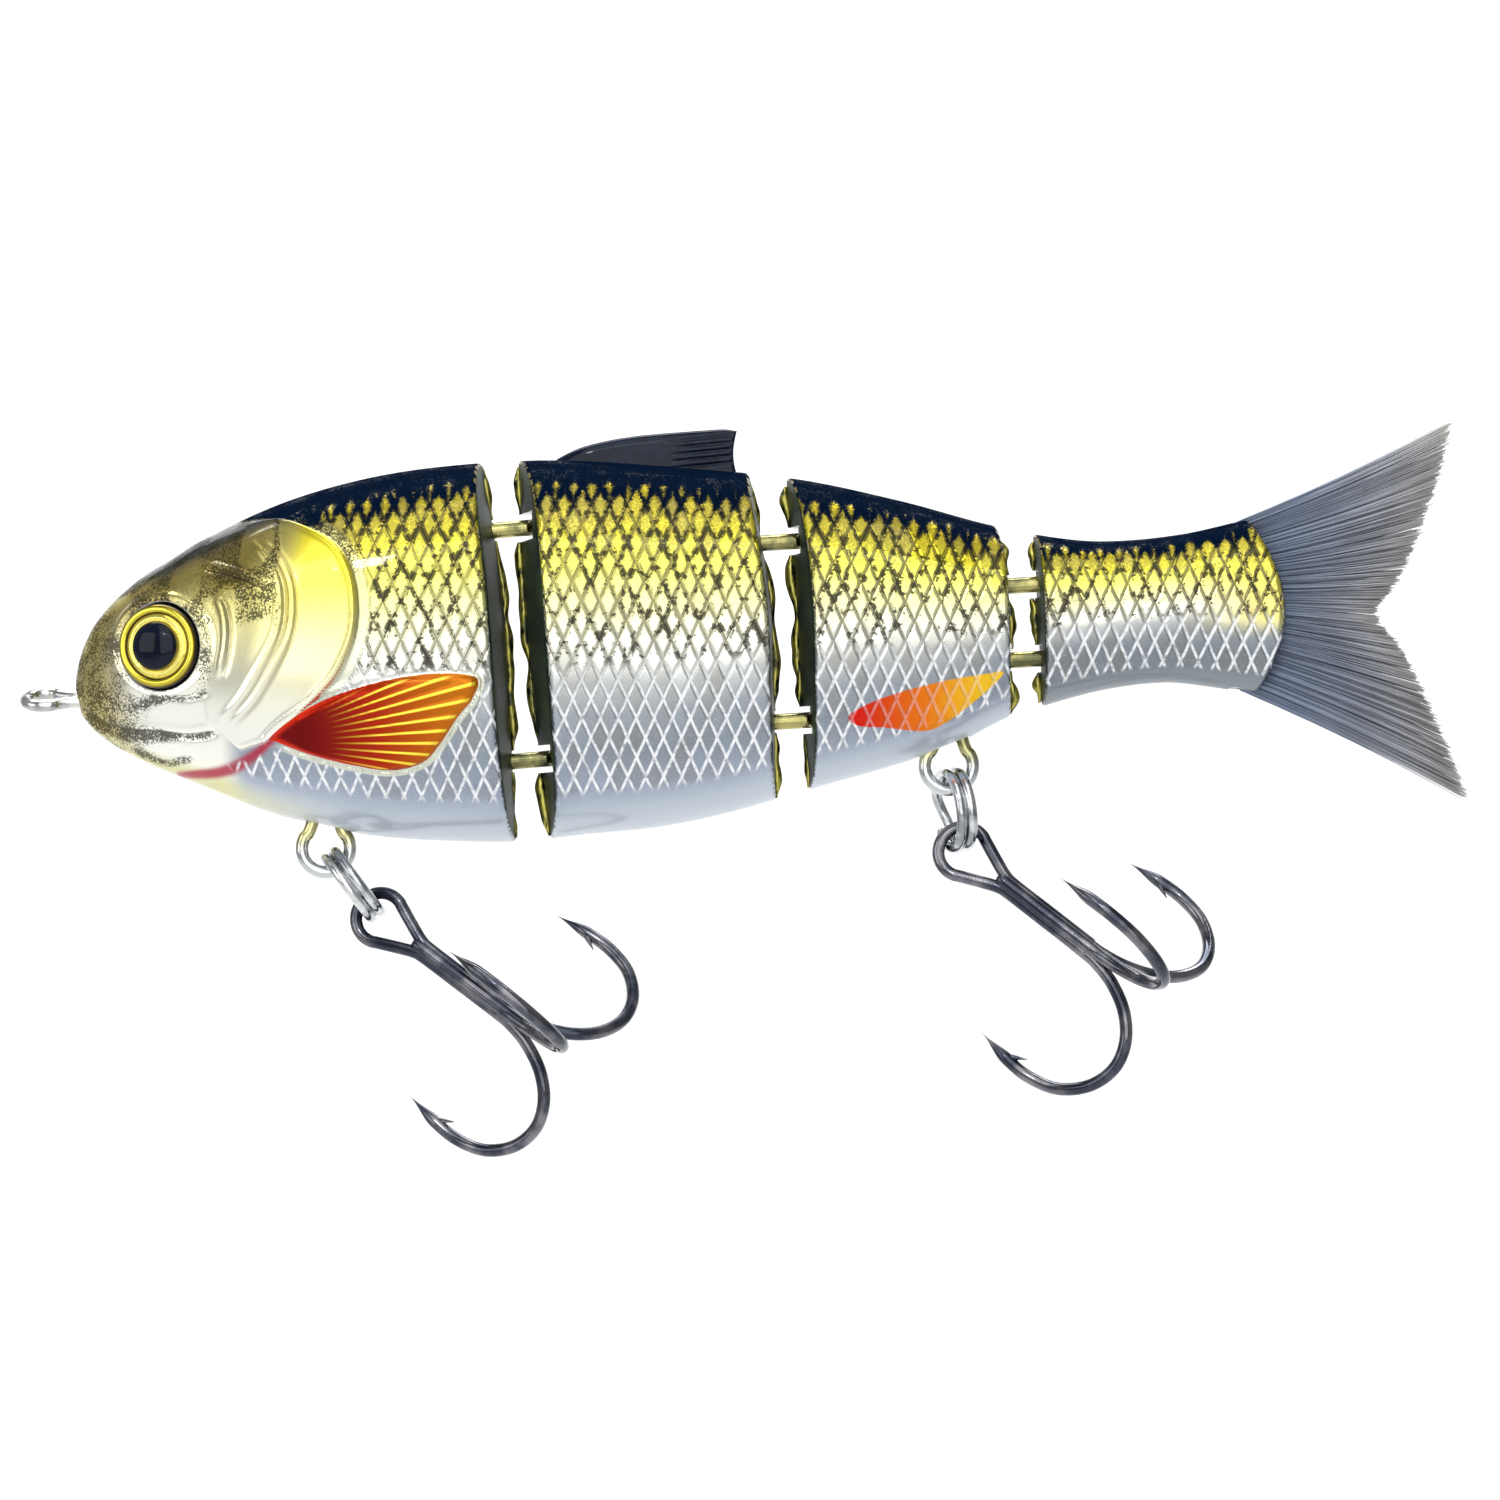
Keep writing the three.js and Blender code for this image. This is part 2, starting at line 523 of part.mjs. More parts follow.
// Two turns of wire side by side; the wire crosses from one turn to the other over a short arc.
function splitRing() {
  const { radius, wireRadius, pitch, drop, crossing } = RING;
  const points = Array.from({ length: 31 }, (_, i) => {
    const angle = crossing + ((720 - 2 * crossing) * i) / 30;
    const across = pitch * THREE.MathUtils.smoothstep(angle, 360 - crossing, 360 + crossing) - pitch / 2;
    const place = rad(angle + 90);
    return vec(across, radius * Math.sin(place), radius * Math.cos(place) - radius - drop);
  });
  return wire(points, wireRadius, 44, 6);
}

// Three hooks brazed into one shank, hanging straight down from a drop-shaped eye in the plane y = 0.
function treble(roll) {
  const { eyeRadius, open, wireRadius, neck, shankTop, shankRadius } = TREBLE;
  const shankEnd = -BEND[1][1];
  const thin = shankRadius * 0.97;
  const eye = Array.from({ length: 9 }, (_, i) => {
    const angle = rad(open + ((360 - 2 * open) * i) / 8);
    return vec(-eyeRadius * Math.sin(angle), 0, -eyeRadius * Math.cos(angle));
  });
  const legs = [-1, 1].map((s) => [vec(s * 0.4, 0, -neck - 1), vec(s * 0.5, 0, -neck)]);
  const pieces = [
    wire([...legs[0], ...eye, legs[1][1], legs[1][0]], wireRadius, 26, 7),
    bar(vec(0, 0, -shankTop), vec(0, 0, shankEnd), shankRadius, thin),
    bar(vec(0, 0, shankEnd + 0.01), vec(0, 0, shankEnd - 1.2), thin, 0.3),
  ];
  [0, 120, 240].forEach((third) => {
    const angle = rad(roll + third);
    const at = ([out, down]) => vec(out * Math.cos(angle), -out * Math.sin(angle), -down);
    pieces.push(wire(BEND.map(at), wireRadius, 12, 6));
    pieces.push(bar(at(BEND[BEND.length - 1]), at(POINT.at), wireRadius * 0.95, POINT.radius, 6));
    pieces.push(bar(at(BARB.from), at(BARB.to), BARB.radius, BARB.tip, 4));
  });
  return joined(pieces);
}

RIGS.forEach((rig) => {
  const [x, z] = rig.at;
  const hung = inOrder(move(x, 0, z), turnY(-rig.ringAft));
  const ringFar = vec(0, 0, -RING.drop - 2 * RING.radius).applyMatrix4(hung);
  const hookTurn = inOrder(turnY(-rig.hookAft), turnX(-rig.hookLean));
  const hookEye = ringFar.add(vec(0, 0, -TREBLE.drop).applyMatrix4(hookTurn));
  add(`${rig.name}_hook_hanger`, wireEye(HANGER).translate(x, 0, z), STEEL);
  add(`${rig.name}_split_ring`, splitRing().applyMatrix4(inOrder(hung, turnZ(rig.ringTwist))), STEEL);
  const hookFrame = inOrder(move(hookEye.x, hookEye.y, hookEye.z), hookTurn);
  const hook = treble(rig.hookRoll).transform(hookFrame.elements);
  add(`${rig.name}_treble_hook`, geometryOf(hook), BLACK_NICKEL);
});

// ---- Eyes, weights, fin and tail ----------------------------------------------------------------------

[["left", -1], ["right", 1]].forEach(([side, sign]) => {
  const axis = eyeAxis(sign);
  const seat = eyeSeat(sign);
  const face = seat.clone().addScaledVector(axis, EYE.thick);
  add(`eye_disc_${side}`, bar(seat, face, EYE.radius, EYE.radius, 20), EYE_FOIL);
  const domeRadius = EYE.radius - DOME.inset;
  const outline = DOME.outline.map(([share, high]) => new THREE.Vector2(share * domeRadius, DOME.gap + high));
  const dome = new THREE.LatheGeometry(outline, 20);
  const turn = new THREE.Quaternion().setFromUnitVectors(vec(0, 1, 0), axis);
  add(`eye_dome_${side}`, dome.applyQuaternion(turn).translate(face.x, face.y, face.z), EYE_RESIN);
});

Object.entries(WEIGHTS).forEach(([name, { x, z, radius, half }]) => {
  add(`${name}_weight`, slug(x, z, radius, half), LEAD);
});

// The fin stands in a groove, with a tongue that goes deeper between the shells.
const onSeat = (x) => [x, finSeatZ(x)];
const tongue = [[FIN_TONGUE.to, FIN_TONGUE.z], [FIN_TONGUE.from, FIN_TONGUE.z]];
const footRear = [onSeat(FIN_SEAT.to), onSeat(FIN_TONGUE.to)];
const finFoot = [...footRear, ...tongue, onSeat(FIN_TONGUE.from), onSeat(FIN_SEAT.from)];
add("dorsal_fin", plate([...DORSAL_FIN, ...finFoot], FIN_SEAT.half), FIN_PLASTIC);

const fanRoot = [[FAN.rootX, FAN.rootLow], [FAN.rootX, FAN.rootHigh]];
add("tail_fan", plate([...FAN_OUTLINE, ...fanRoot], FAN.half), BRISTLE);
const { wall, floor, long, half, low, high, endWall } = FERRULE;
const ferruleX = FAN.rootX - CLEAR;
const tray = solid(block([ferruleX - floor, ferruleX - floor + long], [-half, half], [low, high]));
const insideHeights = [low + endWall, high - endWall];
const trayInside = block([ferruleX, ferruleX + 2 * long], [wall - half, half - wall], insideHeights);
add("tail_ferrule", geometryOf(tray.subtract(solid(trayInside))), STEEL);
const lockPin = bar(vec(LOCK_PIN.x, 0, LOCK_PIN.low), vec(LOCK_PIN.x, 0, LOCK_PIN.high), LOCK_PIN.radius);
add("tail_lock_pin", lockPin, STEEL);

export default swimbait;
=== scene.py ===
"""The looks of a four-section jointed swimbait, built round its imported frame, in metres."""
import itertools

import bmesh
import bpy
import numpy as np
from mathutils import Matrix, Vector


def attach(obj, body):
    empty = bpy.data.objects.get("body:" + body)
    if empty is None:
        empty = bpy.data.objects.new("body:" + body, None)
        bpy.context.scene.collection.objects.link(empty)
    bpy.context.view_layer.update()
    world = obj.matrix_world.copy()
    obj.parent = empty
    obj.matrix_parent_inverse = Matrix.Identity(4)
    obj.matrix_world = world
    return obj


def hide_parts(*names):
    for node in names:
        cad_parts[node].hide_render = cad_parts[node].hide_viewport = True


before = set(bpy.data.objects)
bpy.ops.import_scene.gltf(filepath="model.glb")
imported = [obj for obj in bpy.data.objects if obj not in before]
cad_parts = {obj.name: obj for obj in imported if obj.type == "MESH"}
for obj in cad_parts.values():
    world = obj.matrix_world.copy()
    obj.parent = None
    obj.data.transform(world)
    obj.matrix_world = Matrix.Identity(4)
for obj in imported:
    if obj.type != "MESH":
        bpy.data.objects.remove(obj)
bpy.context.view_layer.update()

# ----------------------------------------------------------------------------------------------------------
# The stage: a pale sweep under and behind the lure, which hangs level before the camera. Large soft lamps
# stand on the camera's side, because the paint is bright metal that shows what is before it.

MM = 0.001
LENS = 118
SENSOR = 36
VIEW_AWAY = 0.45
VIEW_MIDDLE = (0.0645, -0.0046)
FLOOR_Z = -0.3
SWEEP_Y = 0.55
SWEEP_R = 0.2


def node(tree, kind, settings=None, inputs=None, output=0):
    """Adds a node, sets its settings and then its inputs, and returns one output as a Value."""
    made = tree.nodes.new(kind)
    for key, setting in (settings or {}).items():
        setattr(made, key, setting)
    for key, given in (inputs or {}).items():
        if isinstance(given, Value):
            tree.links.new(given.socket, made.inputs[key])
        else:
            made.inputs[key].default_value = given
    return Value(tree, made.outputs[output])


class Value:
    """One output socket. Arithmetic on it adds Math nodes, with numbers or other values on either side."""

    def __init__(self, tree, socket):
        self.tree = tree
        self.socket = socket

    def math(self, operation, *others):
        return node(self.tree, "ShaderNodeMath", {"operation": operation}, dict(enumerate([self, *others])))

    def __add__(self, other):
        return self.math("ADD", other)

    def __sub__(self, other):
        return self.math("SUBTRACT", other)

    def __rsub__(self, other):
        return (self * -1) + other

    def __mul__(self, other):
        return self.math("MULTIPLY", other)

    def __truediv__(self, other):
        return self.math("DIVIDE", other)

    __radd__ = __add__
    __rmul__ = __mul__

    def ramp(self, low, high):
        """Rises smoothly from 0 at low to 1 at high."""
        inputs = {"Value": self, "From Min": low, "From Max": high}
        return node(self.tree, "ShaderNodeMapRange", {"interpolation_type": "SMOOTHSTEP"}, inputs)

    def mix(self, start, end):
        """The colour between start and end at this share."""
        return node(self.tree, "ShaderNodeMix", {"data_type": "RGBA"}, {0: self, 6: start, 7: end}, 2)


def rgb(red, green, blue):
    """A colour given as it looks on screen, from 0 to 255, in the linear values that Blender uses."""
    c = np.array([red, green, blue]) / 255
    c = np.where(c <= 0.04045, c / 12.92, ((c + 0.055) / 1.055) ** 2.4)
    return (*c, 1)


def material(name, **constants):
    """A material with a Principled surface whose sockets, named in lower case, hold the given constants."""
    made = bpy.data.materials.new(name)
    made.use_nodes = True
    surface = made.node_tree.nodes["Principled BSDF"]
    for key, given in constants.items():
        surface.inputs[key.replace("_", " ").title().replace("Ior", "IOR")].default_value = given
    return made, made.node_tree, surface


def drive(tree, surface, **values):
    """Links values into the surface's sockets."""
    for key, value in values.items():
        tree.links.new(value.socket, surface.inputs[key.replace("_", " ").title()])


def grid_faces(rows, columns, first=0, wrap=False):
    """Quads of a grid of rows by columns whose points are numbered row by row from first."""
    r, c = np.meshgrid(np.arange(rows - 1), np.arange(columns - (0 if wrap else 1)), indexing="ij")
    a = first + r * columns + c
    b = first + r * columns + (c + 1) % columns
    return np.stack([a, b, b + columns, a + columns], axis=-1).reshape(-1, 4)


def show(name, points, faces, *materials):
    """A smooth-shaded mesh object from an array of points in mm and lists of faces."""
    mesh = bpy.data.meshes.new(name)
    places = np.asarray(points).reshape(-1, 3) * MM
    mesh.from_pydata(places.tolist(), [], [list(map(int, f)) for f in faces])
    mesh.shade_smooth()
    for each in materials:
        mesh.materials.append(each)
    piece = bpy.data.objects.new(name, mesh)
    bpy.context.collection.objects.link(piece)
    return piece


def make_sweep():
    """The sweep's profile, level and then a quarter circle and then upright, drawn out along x."""
    turn = np.linspace(-np.pi / 2, 0, 17)
    y = np.concatenate([[-2.5], SWEEP_Y + SWEEP_R * np.cos(turn), [SWEEP_Y + SWEEP_R]])
    z = np.concatenate([[FLOOR_Z], FLOOR_Z + SWEEP_R * (1 + np.sin(turn)), [0.6]])
    x = np.linspace(-2.4, 2.55, 2)
    points = np.stack([np.broadcast_to(a, (len(y), 2)) for a in (x[None, :], y[:, None], z[:, None])], -1)
    pale, tree, surface = material("pale_sweep", base_color=(0.9, 0.9, 0.9, 1), roughness=0.8)
    grain = node(tree, "ShaderNodeTexNoise", {}, {"Scale": 60.0, "Detail": 2.0})
    drive(tree, surface, roughness=0.75 + grain * 0.1)
    return show("sweep", points / MM, grid_faces(len(y), 2), pale)


def add_lamp(name, place, aim, size, power):
    """A square soft lamp at place, facing aim."""
    lamp = bpy.data.lights.new(name, "AREA")
    lamp.size = size
    lamp.energy = power
    holder = bpy.data.objects.new(name, lamp)
    holder.location = place
    holder.rotation_euler = (Vector(aim) - Vector(place)).to_track_quat("-Z", "Y").to_euler()
    bpy.context.collection.objects.link(holder)


make_sweep()
middle = (VIEW_MIDDLE[0], 0, VIEW_MIDDLE[1])
add_lamp("front_lamp", (0.06, -0.8, 0.16), middle, 0.8, 2.9)
add_lamp("key_lamp", (-0.1, -0.7, 0.42), middle, 0.07, 0.3)
add_lamp("left_lamp", (-0.6, -0.45, 0.12), middle, 0.5, 1.1)
add_lamp("high_lamp", (0.06, -0.46, 0.58), middle, 0.55, 1.25)
add_lamp("sweep_lamp", (0.06, 0.25, 0.62), (0.06, 0.8, 0.0), 0.6, 6.5)

camera_data = bpy.data.cameras.new("camera")
camera_data.lens = LENS
camera_data.sensor_width = SENSOR
camera = bpy.data.objects.new("camera", camera_data)
camera.location = (VIEW_MIDDLE[0], -VIEW_AWAY, VIEW_MIDDLE[1])
camera.rotation_euler = (np.pi / 2, 0, 0)
bpy.context.collection.objects.link(camera)
bpy.context.scene.camera = camera

world = bpy.data.worlds.new("room")
bpy.context.scene.world = world
world.use_nodes = True
room = world.node_tree.nodes["Background"].inputs
room["Color"].default_value = (0.96, 0.98, 1, 1)
seen = node(world.node_tree, "ShaderNodeLightPath")
world.node_tree.links.new((seen * 0.6 + 0.36).socket, room["Strength"])
bpy.context.scene.view_settings.view_transform = "Standard"

# ----------------------------------------------------------------------------------------------------------
# The shells: each of the four sections is two moulded ABS halves glued on the plane y = 0, with a bevelled
# face at each end, slots or bores for the hinge wires, and scales and fins moulded in. They are plated,
# painted gold over silver with a black back, and lacquered.

NOSE_X = 2.8
NOSE_Z = 0.6
NOSE_ROUND = 8
BACK = [
    (2.8, 10.3), (7, 10.8), (10.7, 12.3), (14.3, 14.5), (21.6, 17.9), (28.9, 20.1), (36.2, 21.3), (46, 21.9),
    (56, 21.4), (68.6, 20.2), (78.2, 18.2), (86, 16.1), (92, 14.9), (97, 14.5), (103.7, 15.1), (110, 16.5),
    (114, 17.4),
]
BELLY = [
    (2.8, -4.6), (8, -5.5), (12, -6.9), (16.4, -8.7), (20.8, -10.4), (25, -11.4), (30.4, -12.5), (37, -12.95),
    (43, -13), (50, -12.3), (56, -11.7), (62, -10.5), (70.4, -8.1), (78.7, -5.7), (84, -3.7), (88, -1.7),
    (92, -0.4), (97, 0.9), (102.5, 1.55), (107, 1.1), (111, 0.45), (114, 0.2),
]
HALF_WIDTH = [
    (2.8, 5), (6, 5.6), (10, 7), (15, 8.4), (20, 9.2), (28, 9.7), (38, 9.7), (48, 9.5), (58, 9), (68, 8.2),
    (78, 6.9), (88, 5.5), (96, 4.6), (104, 3.9), (110, 3.4), (114, 3.2),
]
WIDEST = 0.56
BACK_POWER = 2.3
BELLY_POWER = 1.9
FRONTWARD = 1
BACKWARD = -1
TAIL_END_X = 113.4
TAIL_END_Z = 8
TAIL_END_HALF = 7.9
TAIL_END_FALL = 3
RIM_ROUND = 0.4
EYE_X = 11.2
EYE_Z = 4.75
EYE_FORWARD = np.radians(17)
SOCKET_R = 4.05
SCALE_WIDE = 1.62
SCALE_TALL = 3.5


def smooth(low, high, value):
    """Rises from 0 at low to 1 at high, level at both ends."""
    t = np.clip((value - low) / (high - low), 0, 1)
    return t * t * (3 - 2 * t)


def outline_at(points):
    """A smooth curve through (x, value) points: cubic pieces whose slopes come from neighbouring points."""
    xs, values = np.array(points, float).T
    before = np.maximum(np.arange(len(xs)) - 1, 0)
    after = np.minimum(np.arange(len(xs)) + 1, len(xs) - 1)
    slopes = (values[after] - values[before]) / (xs[after] - xs[before])

    def value(x):
        i = np.clip(np.searchsorted(xs, x) - 1, 0, len(xs) - 2)
        step = xs[i + 1] - xs[i]
        t = np.clip((x - xs[i]) / step, 0, 1)
        u = 1 - t
        bow = step * t * u * (slopes[i] * u - slopes[i + 1] * t)
        return values[i] * u * u * (1 + 2 * t) + values[i + 1] * t * t * (3 - 2 * t) + bow

    return value


back_at = outline_at(BACK)
belly_at = outline_at(BELLY)
half_width_at = outline_at(HALF_WIDTH)


def heights(x):
    """The body's top, bottom and half width at x; towards the nose all close in as a quarter circle does."""
    grow = np.sqrt(1 - (1 - np.clip((x - NOSE_X) / NOSE_ROUND, 0, 1)) ** 2)
    top = NOSE_Z + (back_at(x) - NOSE_Z) * grow
    bottom = NOSE_Z + (belly_at(x) - NOSE_Z) * grow
    return top, bottom, half_width_at(x) * grow


def half_section(x, angle):
    """(y, z) of the body's skin at x, from the back at angle 0 to the belly at pi: a superellipse whose power
    differs above and below its widest line."""
    top, bottom, half = heights(x)
    widest = bottom + (top - bottom) * WIDEST
    up = np.cos(angle)
    power = 2 / np.where(up >= 0, BACK_POWER, BELLY_POWER)
    reach = np.where(up >= 0, top - widest, widest - bottom)
    return half * np.sin(angle) ** power, widest + reach * np.sign(up) * np.abs(up) ** power


def end_face(ridge, bevel, facing):
    """x of a bevelled end face at (y, z): its ridge's x at that height, with a straight fall to each side."""
    ridge_at = outline_at(ridge)
    fall = np.tan(np.radians(bevel)) * facing
    return lambda y, z: ridge_at(z) + fall * np.abs(y)


def tail_end(y, z):
    """x of the tail section's rounded end: an arc that falls forward above and below its middle, and a little
    to each side."""
    high = (z - TAIL_END_Z) / TAIL_END_HALF
    return TAIL_END_X - TAIL_END_FALL * high ** 2 - 0.35 * (np.abs(y) / 3.2) ** 2


def flank(front, rear, along, around):
    """One flank between two end faces, as an (along, around) grid in mm with y positive."""
    angle = np.linspace(0, np.pi, around)
    ends = []
    for face, guess in ((front, 5), (rear, 115)):
        x = np.full(around, float(guess))
        for _ in range(12 if face else 0):
            x = face(*half_section(x, angle))
        ends.append(x if face else np.full(around, NOSE_X))
    share = np.linspace(0, 1, along)[:, None]
    if not front:
        share = share ** 2 * (1.6 - 0.6 * share)
    x = ends[0] * (1 - share) + ends[1] * share
    return np.stack([x, *half_section(x, angle[None, :])], axis=-1)


def raised(grid, height):
    """The grid moved out along its normals by height, with its two glued edges kept on y = 0."""
    normal = np.cross(np.gradient(grid, axis=0), np.gradient(grid, axis=1))
    normal /= np.maximum(np.linalg.norm(normal, axis=-1, keepdims=True), 1e-9)
    normal *= np.sign(np.sum(normal[..., 1]))
    moved = grid + normal * height[..., None]
    moved[:, [0, -1], 1] = 0
    return moved


def curve_through(points, closed=False, pieces=8):
    """Points on a smooth curve through a few given ones, by the Catmull-Rom formula."""
    p = np.array(points, float)
    if closed:
        p = np.concatenate([p[-1:], p, p[:2]])
    else:
        p = np.concatenate([2 * p[:1] - p[1:2], p, 2 * p[-1:] - p[-2:-1]])
    t = (np.arange(pieces) / pieces)[None, :, None]
    a, b, c, d = (p[i:len(p) - 3 + i, None, :] for i in range(4))
    square_part = (2 * a - 5 * b + 4 * c - d) * t ** 2
    cube_part = (3 * b - a - 3 * c + d) * t ** 3
    bent = (0.5 * (2 * b + (c - a) * t + square_part + cube_part)).reshape(-1, p.shape[1])
    return bent if closed else np.concatenate([bent, p[-2:-1]])


def from_line(line, x, z):
    """Each point's distance from a line of (x, z) points, and how far along the line its nearest place is."""
    nearest = np.full(x.shape, 1e9)
    along = np.zeros(x.shape)
    for i, ((ax, az), (bx, bz)) in enumerate(zip(line[:-1], line[1:])):
        dx, dz = bx - ax, bz - az
        t = np.clip(((x - ax) * dx + (z - az) * dz) / (dx * dx + dz * dz), 0, 1)
        away = np.hypot(x - ax - t * dx, z - az - t * dz)
        along = np.where(away < nearest, (i + t) / (len(line) - 1), along)
        nearest = np.minimum(away, nearest)
    return nearest, along


def inside_by(outline, x, z):
    """How far each point is inside a closed outline; outside it, the distance is negative."""
    closed = np.concatenate([outline, outline[:1]])
    crossed = np.zeros(x.shape, bool)
    for (ax, az), (bx, bz) in zip(closed[:-1], closed[1:]):
        if az != bz:
            crossed ^= ((az > z) != (bz > z)) & (x < ax + (z - az) * (bx - ax) / (bz - az))
    return np.where(crossed, 1, -1) * from_line(closed, x, z)[0]


def ridge_line(points, width, x, z, taper=0.12):
    """A soft ridge along a line, 1 on it and fading over width and towards the line's ends."""
    away, along = from_line(curve_through(points), x, z)
    return np.exp(-(away / width) ** 2) * smooth(0, taper, along) * smooth(0, taper, 1 - along)


GILL_EDGE = [
    (17.4, 16.1), (21.3, 16.3), (23.8, 15.8), (26.9, 14.3), (28.55, 12.1), (29.25, 9.6), (29.3, 6.8),
    (28.7, 4.5), (27.2, 1.7), (24.9, -0.6), (22.7, -2.6), (21.3, -3.7),
]
GILL_FRONT = [(18.6, -4.6), (15.5, -2), (14.5, 6), (15, 14)]
PREOPERCLE = [
    (20.7, 14), (22.1, 12.6), (23.25, 10.4), (23.5, 7.9), (23.1, 5.6), (21.85, 3.1), (19.9, 0), (17.4, -2.4),
]
CHEEK_SLIT = [(15.1, 12.3), (18.3, 11.4), (21.7, 10.1)]
CHEEK_CRESCENT = [(16.5, 9.3), (17.15, 7.9), (17.4, 6.2), (17.3, 4.5), (16.7, 1.7)]
MOUTH = [(3.6, -0.9), (5.5, -2.3), (8, -3.1), (10.6, -3.2), (14, -3.5), (17.4, -2.9)]
LIP = [(4.2, 0.6), (7.5, -0.5), (11.5, 0), (14, 0.1), (16.2, 0.8)]
CHIN = [(8.3, -4.5), (11.2, -5.8), (14.4, -5.3)]
BLUSH = [(12.5, -6.9), (16.5, -6.6), (19, -5.6), (21.4, -3.8)]
PECTORAL = [
    (21.3, -3.4), (23.8, -1.4), (27.4, 0.35), (32.2, 1.75), (36.6, 2.3), (40, 1.9), (39.6, 0), (38.3, -1.6),
    (36.6, -4.1), (35, -5.7), (32.2, -6.4), (28.5, -5.9), (24.9, -5), (22.1, -3.95),
]
FIN_ROOT = (20, -4)
RAY_ANGLE = 0.066
VENTRAL_PATCH = [
    (73.5, -1.4), (76.7, 0.2), (81.8, 1.6), (85.8, 2.3), (87.5, 2.5), (86.5, 1.2), (84.4, -0.6), (82.2, -2.2),
    (80.3, -2.9), (76.7, -2.6), (74.2, -2.4),
]
# Ridges and grooves of the head, as (line, shift of it, width, rise).
HEAD_RIDGES = [
    (PREOPERCLE, (0, 0), 0.34, 0.26), (PREOPERCLE, (-1.1, 0.1), 0.3, 0.2),
    (PREOPERCLE, (-0.55, 0), 0.22, -0.16),
    (CHEEK_SLIT, (0, 0), 0.25, 0.22), (CHEEK_SLIT, (0, -0.4), 0.2, -0.3),
    (CHEEK_CRESCENT, (0, 0), 0.3, 0.3), (CHEEK_CRESCENT, (0.5, 0), 0.22, -0.2),
    (MOUTH, (0, 0), 0.35, -0.4), (MOUTH, (0, 0.7), 0.4, 0.12),
    (LIP, (0, 0), 0.3, -0.14), (CHIN, (0, 0), 0.3, -0.12),
]
LATERAL_LINE = [
    (29.6, 10.6), (34.1, 9.5), (40.2, 8.5), (52, 8.6), (66, 8.8), (85, 9), (104, 9.4), (113, 10.2),
]


def zone_colours(stops, height):
    """Colours by height share, straight between stops of (height, colour)."""
    levels = [s[0] for s in stops]
    return np.stack([np.interp(height, levels, [rgb(*s[1])[i] for s in stops]) for i in range(4)], axis=-1)


def over(base, colour, mask):
    """A colour laid over a base by a mask from 0 to 1."""
    return base * (1 - mask[..., None]) + np.array(rgb(*colour)) * mask[..., None]


# Flank colours by height share, holding light as well as paint: the near-white band from 0.42 to 0.6 between
# the gold and the silver is a painted reflection of a bright soft lamp, and the pale blue-grey low on the
# belly is a painted reflection of the floor; the gold and the silver are paint, and the gold darkens towards
# the back.
FLANK_PAINT_AND_REFLECTION_STOPS = [
    (0.00, (206, 213, 221)), (0.07, (184, 194, 206)), (0.12, (158, 168, 186)), (0.22, (140, 151, 164)),
    (0.32, (164, 171, 178)), (0.42, (222, 225, 222)), (0.50, (252, 252, 232)), (0.60, (250, 247, 176)),
    (0.70, (248, 242, 104)), (0.78, (246, 234, 62)), (0.87, (222, 204, 42)), (1.00, (190, 166, 30)),
]


def paint_flank(x, z):
    """The paint that all sections share, with painted reflections in its colour, as the values that the
    shells' material reads.
    """
    top, bottom, _ = heights(x)
    height = (z - bottom) / np.maximum(top - bottom, 0.5)
    return {
        "height": height,
        "colour": zone_colours(FLANK_PAINT_AND_REFLECTION_STOPS, height),
        "metal": 0.78 * smooth(0.0, 0.16, height) + 0.16,
        "scales": smooth(0.1, 0.125, height) * smooth(0.97, 0.92, height),
        "speckle": 0.25 * smooth(0.4, 0.5, height) + 0.75 * smooth(0.62, 0.9, height),
        "back": np.ones_like(height),
    }


def face_blend(x, z):
    """How far each point is inside the gill cover's edge, and 1 on the face and cover but 0 behind them."""
    gill = inside_by(np.concatenate([curve_through(GILL_EDGE), GILL_FRONT]), x, z)
    return gill, np.maximum(smooth(-0.15, 0.15, gill), smooth(19, 16.5, x))


